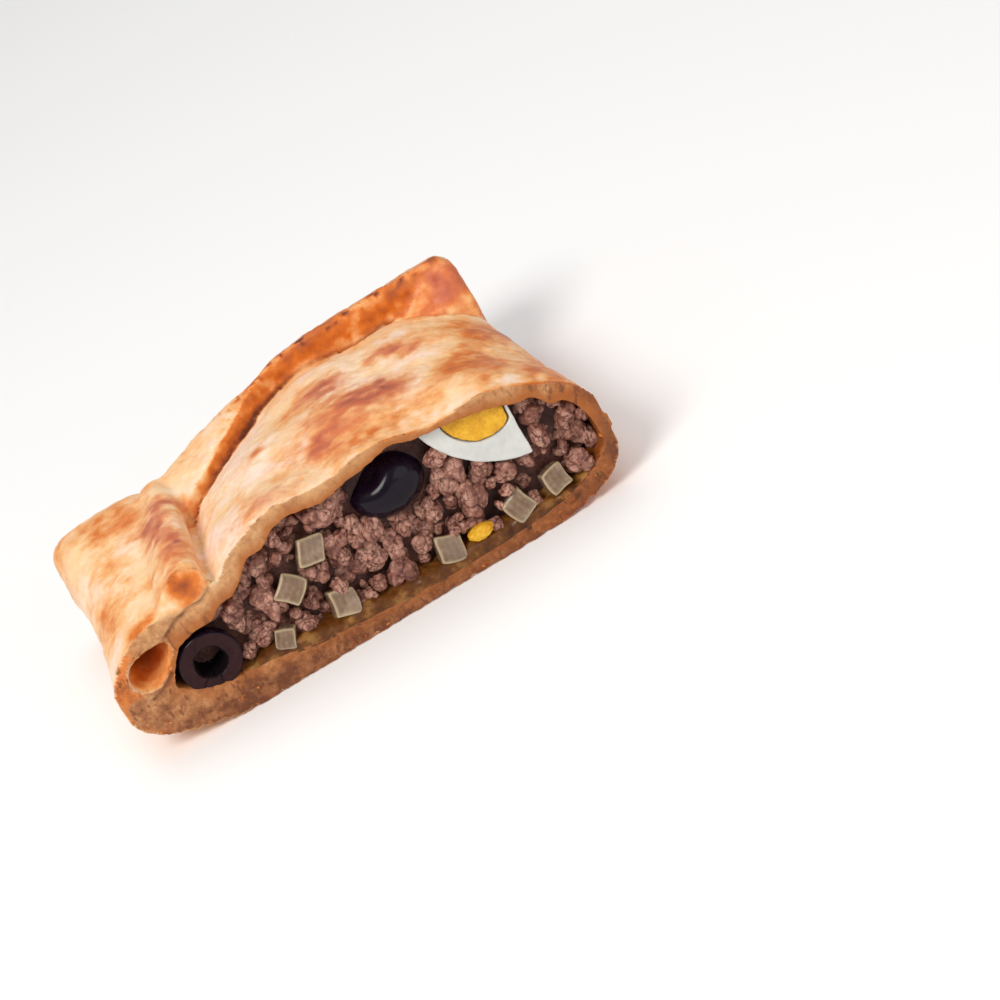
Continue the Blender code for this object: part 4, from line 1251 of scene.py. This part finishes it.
def makeOnionMaterial():
    made, tree, shader = newMaterial(
        "cookedOnion", Roughness=0.24, Transmission_Weight=0.28, IOR=1.36, Subsurface_Weight=0.5,
        Subsurface_Scale=0.003, Subsurface_Radius=(1.0, 0.8, 0.45), Coat_Weight=0.3, Coat_Roughness=0.12)
    cloudy, height = addMottle(tree, 200.0, 900.0, 0.4)
    stripes = maths(tree, "SINE", times(tree, readMask(tree, "layer"), 26.0))
    colour = ramp(tree, plus(tree, cloudy, times(tree, stripes, 0.03)), (
        (0.35, (0.20, 0.125, 0.075)), (0.5, (0.31, 0.20, 0.128)), (0.68, (0.46, 0.33, 0.225))))
    # painted highlight along the dice's edges
    colour = mixed(tree, times(tree, readMask(tree, "rim"), 0.75), colour, (0.78, 0.64, 0.40))
    tree.links.new(colour, shader.inputs["Base Color"])
    addBump(tree, shader, plus(tree, height, times(tree, stripes, 0.02)), 0.25, 0.0003)
    return made


print("onion")
finishPiece(makeOnion(), "cooked_onion", makeOnionMaterial(), *[f"onion_dice_{n:02d}" for n in range(1, 8)])


olive = {
    # the whole one: how it is stretched and shifted, and its dents: direction, depth and width
    "grow": (1.12, 1.0, 1.10), "shift": (-0.3 * mm, 0.3 * mm, -0.5 * mm),
    "dents": ((-0.45, -0.55, 0.9, 0.30, 0.5), (0.2, -1.0, 0.15, 0.05, 0.3)),
    # the slice: radius of the hole and where its two cracks run, in degrees
    "hole": 3.5 * mm, "crackAt": (-128, -86),
}


def makeWholeOlive():
    # an ellipsoid with bell-shaped dents
    low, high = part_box("olive_whole")
    centre, half = (low + high) / 2, (high - low) / 2
    directions, triangles = ballGrid(5)
    reach = 1 - 0.012 * (1 + softNoise(directions, 0.35, 21))
    for x, y, z, deep, wide in olive["dents"]:
        at = np.array((x, y, z)) / np.linalg.norm((x, y, z))
        reach = reach - deep * bell(np.linalg.norm(directions - at, axis=1) / wide)
    shape = directions * reach[:, None] * np.array(half) * olive["grow"] + np.array(centre) + olive["shift"]
    return newPiece("olive_plump", shape, triangles.tolist())


def ringProfile(radius, hole, depth):
    # from the bottom of the hole, up its wall, over the face and round the skin to the back
    profile = [(0.02 * hole, 0.82 * depth), (0.5 * hole, 0.8 * depth), (0.75 * hole, 0.74 * depth)]
    profile += [(hole, share * depth) for share in (0.6, 0.4, 0.2, 0.08)]
    lip, edge = hole * 1.1, radius * 0.95
    profile += [(hole * 1.03, 0.35 * mm), (lip, 0.1 * mm)]
    profile += [(lip + (edge - lip) * t, 0.25 * mm * (1 - t) * t) for t in np.linspace(0.08, 1, 14)]
    profile += [(radius * 0.985, 0.22 * mm), (radius * 0.998, 0.6 * mm)]
    skin = 0.6 * mm
    return profile + [(radius * math.cos(a), skin + (depth - skin) * math.sin(a))
                      for a in np.linspace(0.1, 0.47 * math.pi, 14)]


def makeOliveRing():
    # the profile turned about the depth, its hole's rim ragged and its face cracked
    low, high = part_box("olive_ring")
    radius, hole, around = (high.x - low.x) / 2, olive["hole"], 160
    centre = ((low.x + high.x) / 2, low.y, (low.z + high.z) / 2)
    profile = ringProfile(radius, hole, high.y - low.y)
    radii = np.array([across for across, _ in profile])
    rings = turnedProfile(profile, around, centre)
    turn = np.linspace(0, 2 * math.pi, around, endpoint=False)
    out = np.stack([np.cos(turn), 0 * turn, np.sin(turn)], axis=1)
    ragged = 0.5 * softNoise(out, 0.16, 31) + 0.5 * softNoise(out, 0.33, 32)
    inner = np.clip((radius - radii) / (radius - hole), 0, 1)
    rings += (inner ** 2)[:, None, None] * 0.42 * mm * ragged[:, None] * out
    number = np.arange(len(radii))
    onFace = np.where((number > 7) & (number < 22), 1 - (1 - inner) ** 3, 0.0)
    for angle in olive["crackAt"]:
        off = np.angle(np.exp(1j * (turn - math.radians(angle))))
        wobble = off * radius * 0.75 - 0.25 * mm * np.sin(radii * 2.2 / mm)[:, None]
        rings[:, :, 1] += onFace[:, None] * 0.6 * mm * ridge(wobble, 0, 0.17)
    piece = turnOut(loftedPiece("olive_slice", [rings]))
    points = readPoints(piece)
    away = np.hypot(points[:, 0] - centre[0], points[:, 2] - centre[2])
    face = drop(points[:, 1] - low.y, 0.95, 0.3) * drop(away - 0.975 * radius, 0, 0.4)
    addMask(piece, "flesh", face * rise(away - 0.95 * hole, 0, 0.7))
    # painted shade: the mask marks the hole's wall, which the material makes near-black
    addMask(piece, "shadedBore", drop(away - 1.12 * hole, 0, 0.4))
    return piece


def makeOliveMaterial():
    made, tree, shader = newMaterial(
        "blackOlive", Roughness=0.24, Specular_IOR_Level=0.12, Coat_Roughness=0.12)
    cloudy, height = addMottle(tree, 120.0, 700.0, 0.5)
    skin = ramp(tree, cloudy, ((0.3, (0.002, 0.001, 0.004)), (0.7, (0.009, 0.004, 0.012))))
    flesh = ramp(tree, cloudy, ((0.3, (0.012, 0.003, 0.004)), (0.7, (0.042, 0.013, 0.015))))
    onFace, shadedBore = readMask(tree, "flesh"), readMask(tree, "shadedBore")
    # painted shade: the hole's wall near-black
    colour = mixed(tree, shadedBore, mixed(tree, onFace, skin, flesh), (0.004, 0.002, 0.002))
    tree.links.new(colour, shader.inputs["Base Color"])
    dull = maths(tree, "MAXIMUM", onFace, times(tree, shadedBore, 2.0))
    tree.links.new(spread(tree, dull, 0.0, 2.0, 0.2, 1.0), shader.inputs["Roughness"])
    tree.links.new(spread(tree, dull, 0.0, 1.5, 0.16, 0.0), shader.inputs["Coat Weight"])
    addBump(tree, shader, height, 0.15, 0.0003)
    return made


print("olives")
oliveLook = makeOliveMaterial()
finishPiece(makeWholeOlive(), "black_olive", oliveLook, "olive_whole")
finishPiece(makeOliveRing(), "black_olive", oliveLook, "olive_ring")


# a wedge of boiled egg: the face is a disc that the flat right side and the case's roof cut off
egg = {
    "radius": 23.5 * mm, "fromRight": 2.7 * mm, "halfDepth": 15 * mm, "depth": 9.5 * mm, "lean": 6,
    "yolkRadius": 8.7 * mm, "yolkHalf": 6.5 * mm, "yolkFromRight": 5.9 * mm, "yolkHeight": 34.4 * mm,
    "margin": 1.1 * mm, "gap": 0.12 * mm, "behindCut": 0.9 * mm, "yolkEnd": 1.45, "grain": 0.34 * mm,
}


def domeProfile(radius, halfDepth, stop, count, rim):
    # from the middle of the face, round a soft rim, to the back
    face = [(radius * t, 0.0) for t in (0.02, 0.3, 0.6, 0.85)]
    face += [(radius - rim, 0.0), (radius - 0.3 * rim, 0.3 * rim)]
    return face + [(radius * math.cos(a), halfDepth * math.sin(a)) for a in np.linspace(0.05, stop, count)]


def makeEgg():
    # two domes turned about the depth, the yolk's set in the white's, both cut to the wedge
    low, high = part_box("egg_white")
    side, face, yolkRadius = 2 * caseWidth, cutY + egg["behindCut"], egg["yolkRadius"]
    centre = (high.x + egg["fromRight"], face, low.z + egg["radius"])
    yolkAt = (high.x - egg["yolkFromRight"], face, egg["yolkHeight"])
    stop = math.asin(egg["depth"] / egg["halfDepth"])
    # the white, the yolk and the seat that the yolk leaves in the white, which starts before the face
    whiteProfile = domeProfile(egg["radius"], egg["halfDepth"], stop, 12, 0.4 * mm)
    yolkProfile = domeProfile(yolkRadius - egg["gap"], egg["yolkHalf"], egg["yolkEnd"], 14, 0.2 * mm)
    seatProfile = [(yolkRadius, -4 * mm)] + [
        (yolkRadius * math.cos(a), egg["yolkHalf"] * math.sin(a))
        for a in np.linspace(0.0, egg["yolkEnd"], 14)]
    white, yolk, seat = (
        turnOut(loftedPiece(name, [turnedProfile(profile, around, at)])) for name, profile, around, at in (
            ("egg_white_wedge", whiteProfile, 180, centre), ("egg_yolk_wedge", yolkProfile, 120, yolkAt),
            ("yolkSeat", seatProfile, 120, yolkAt)))
    yolkSide = high.x - egg["margin"]
    right, yolkRight, seatRight = (
        boxCutter(name, (start, -side, -side), (side, side, side)) for name, start in (
            ("rightCutter", high.x), ("yolkRightCutter", yolkSide),
            ("seatRightCutter", yolkSide + egg["gap"])))
    above = boxCutter("aboveCutter", (-side, -side, high.z), (side, side, side))
    # the wedge leans back about its foot
    foot = Matrix.Translation((centre[0], face, low.z))
    lean = foot @ Matrix.Rotation(math.radians(-egg["lean"]), 4, "X") @ foot.inverted()
    for piece in (white, yolk, seat, right, yolkRight, seatRight):
        piece.data.transform(lean)
    cutAway(seat, seatRight)
    bake(seat)
    for piece, cutters in ((white, (right, seat, above)), (yolk, (yolkRight, above))):
        for cutter in cutters:
            cutAway(piece, cutter)
        bake(piece)
        remesh(piece, egg["grain"], 2)
        bake(piece)
    for cutter in (seat, right, yolkRight, seatRight, above):
        bpy.data.objects.remove(cutter)
    points, normals = readPoints(yolk), readNormals(yolk)
    crumble = softNoise(points, 1.1 * mm, 41) + 0.7 * softNoise(points, 0.5 * mm, 42)
    writePoints(yolk, points + normals * (0.16 * mm * (crumble - 0.6))[:, None])
    points, normals = readPoints(white), readNormals(white)
    wave = softNoise(points, 4 * mm, 43)
    writePoints(white, points + normals * (0.12 * mm * (wave - 1))[:, None])
    return white, yolk


def makeYolkBit():
    # a crumb of yolk, an ellipsoid with two sizes of noise
    low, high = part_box("yolk_bit")
    centre, half = np.array((low + high) / 2), np.array((high - low) / 2)
    directions, triangles = ballGrid(5)
    reach = 0.92 + 0.1 * softNoise(directions, 0.35, 51) + 0.05 * softNoise(directions, 0.15, 52)
    shape = directions * np.minimum(reach, 1.0)[:, None] * half + centre
    return newPiece("yolk_crumb", shape, triangles.tolist())


def makeEggWhiteMaterial():
    made, tree, shader = newMaterial(
        "eggWhite", Roughness=0.28, Subsurface_Weight=0.35, Subsurface_Scale=0.002,
        Subsurface_Radius=(1.0, 0.9, 0.8), Coat_Weight=0.2, Coat_Roughness=0.2)
    cloudy, height = addMottle(tree, 150.0, 600.0, 0.3)
    colour = ramp(tree, cloudy, ((0.35, (0.55, 0.56, 0.53)), (0.6, (0.65, 0.65, 0.61))))
    tree.links.new(colour, shader.inputs["Base Color"])
    addBump(tree, shader, height, 0.06, 0.0003)
    return made


def makeYolkMaterial():
    made, tree, shader = newMaterial("eggYolk", Roughness=0.62, Subsurface_Weight=0.1, Subsurface_Scale=0.001)
    cloudy, height = addMottle(tree, 300.0, 1400.0, 0.5)
    colour = ramp(tree, cloudy, (
        (0.3, (0.56, 0.22, 0.004)), (0.5, (0.74, 0.38, 0.007)), (0.7, (0.84, 0.52, 0.04))))
    tree.links.new(colour, shader.inputs["Base Color"])
    addBump(tree, shader, height, 0.6, 0.0004)
    return made


print("egg")
eggWhite, eggYolk = makeEgg()
yolkLook = makeYolkMaterial()
finishPiece(eggWhite, "boiled_egg_white", makeEggWhiteMaterial(), "egg_white")
finishPiece(eggYolk, "boiled_egg_yolk", yolkLook, "egg_yolk")
finishPiece(makeYolkBit(), "boiled_egg_yolk", yolkLook, "yolk_bit")


juice = {"left": -33 * mm, "right": 53 * mm, "front": 0.35 * mm, "back": 14 * mm, "wave": 0.85 * mm,
         # how high they stand: across and height
         "level": ((-33, 9.0), (-28, 9.6), (-20, 8.8), (-12, 7.4), (-4, 6.8), (6, 5.6), (16, 5.6), (24, 6.2),
                   (34, 5.6), (44, 5.8), (50, 7.0), (53, 8.0))}


def makeJuice():
    # a thin slab lying on the floor of the case; its top rises and falls and its rim is round
    u, v = np.meshgrid(np.linspace(0, 1, 220), np.linspace(0, 1, 46), indexing="ij")
    x = juice["left"] + u * (juice["right"] - juice["left"])
    y = cutY + juice["front"] + v ** 1.6 * (juice["back"] - juice["front"])
    foot = readTable(cavity["floor"], x) * mm - 0.5 * mm
    rim = arch(2 * u - 1, 6) * arch(np.clip(1 - v / 0.35, 0, 1), 2.2)
    flat = np.stack([x, y, 0 * x], axis=-1).reshape(-1, 3)
    wave = (softNoise(flat, 4.2 * mm, 91) + 0.45 * softNoise(flat, 1.8 * mm, 92)).reshape(x.shape)
    top = foot + (readTable(juice["level"], x) * mm + 0.3 * mm + juice["wave"] * wave - foot) * rim
    upper = np.stack([x, y, np.maximum(top, foot + 0.02 * mm)], axis=-1)
    lower = np.stack([x, y, foot], axis=-1)
    rings = np.concatenate([upper, lower[:, ::-1]], axis=1)
    return turnOut(loftedPiece("pan_juices", [rings]))


def makeJuiceMaterial():
    made, tree, shader = newMaterial(
        "panJuices", Roughness=0.35, Specular_IOR_Level=0.3, Transmission_Weight=0.12, IOR=1.38,
        Subsurface_Weight=0.5, Subsurface_Scale=0.003, Subsurface_Radius=(1.0, 0.6, 0.25), Coat_Weight=0.14,
        Coat_Roughness=0.15)
    cloudy, height = addMottle(tree, 110.0, 420.0, 0.45)
    colour = ramp(tree, cloudy, (
        (0.38, (0.065, 0.018, 0.003)), (0.5, (0.155, 0.050, 0.007)), (0.62, (0.38, 0.185, 0.045))))
    tree.links.new(colour, shader.inputs["Base Color"])
    addBump(tree, shader, height, 0.3, 0.0006)
    return made


flakes = {"count": 150, "seed": 5, "low": 0.3 * mm, "high": 0.75 * mm}


def makeFlakes():
    # chips of crust torn along the lower edge of the cut, flat and of many sizes
    directions, triangles = ballGrid(2)
    draw = np.random.default_rng(flakes["seed"])
    points, faces, browned = [], [], []
    for count in range(flakes["count"]):
        u = draw.uniform(-1, 1)
        x = 57 * mm * u
        z = (0.5 + 16.5 * (1 - arch(abs(u), 2.6 if u < 0 else 3.3)) + 1.7 * draw.uniform() ** 2) * mm
        size = draw.uniform(flakes["low"], flakes["high"])
        reach = 1 + 0.35 * softNoise(directions, 0.5, 200 + count)
        axes = np.linalg.qr(draw.normal(size=(3, 3)))[0]
        shape = (directions * reach[:, None] * size * np.array([1.3, 0.8, 0.35])) @ axes
        y = cutY + 0.25 * mm - shape[:, 1].min()
        points.append(shape + np.array([x, y, max(z, 0.05 * mm - shape[:, 2].min())]))
        faces.append(triangles + count * len(directions))
        browned.append(np.full(len(directions), draw.uniform(0.55, 0.95)))
    piece = newPiece("crust_flakes", np.concatenate(points), np.concatenate(faces).tolist())
    addMask(piece, "browningAndShade", np.concatenate(browned))
    return piece


print("juices and flakes")
finishPiece(makeJuice(), "cooked_mince", makeJuiceMaterial())
finishPiece(makeFlakes(), "baked_dough", bpy.data.materials["bakedDough"])


def makeFloor():
    # a pale square that the half lies on
    half = 2.0
    corners = [(-half, -half, 0), (half, -half, 0), (half, half, 0), (-half, half, 0)]
    floor = newPiece("floor", corners, [(0, 1, 2, 3)])
    made, _, _ = newMaterial("paleFloor", Roughness=0.9, Base_Color=(0.93, 0.93, 0.93, 1))
    floor.data.materials.append(made)


makeFloor()
bpy.context.scene.view_settings.view_transform = "Standard"
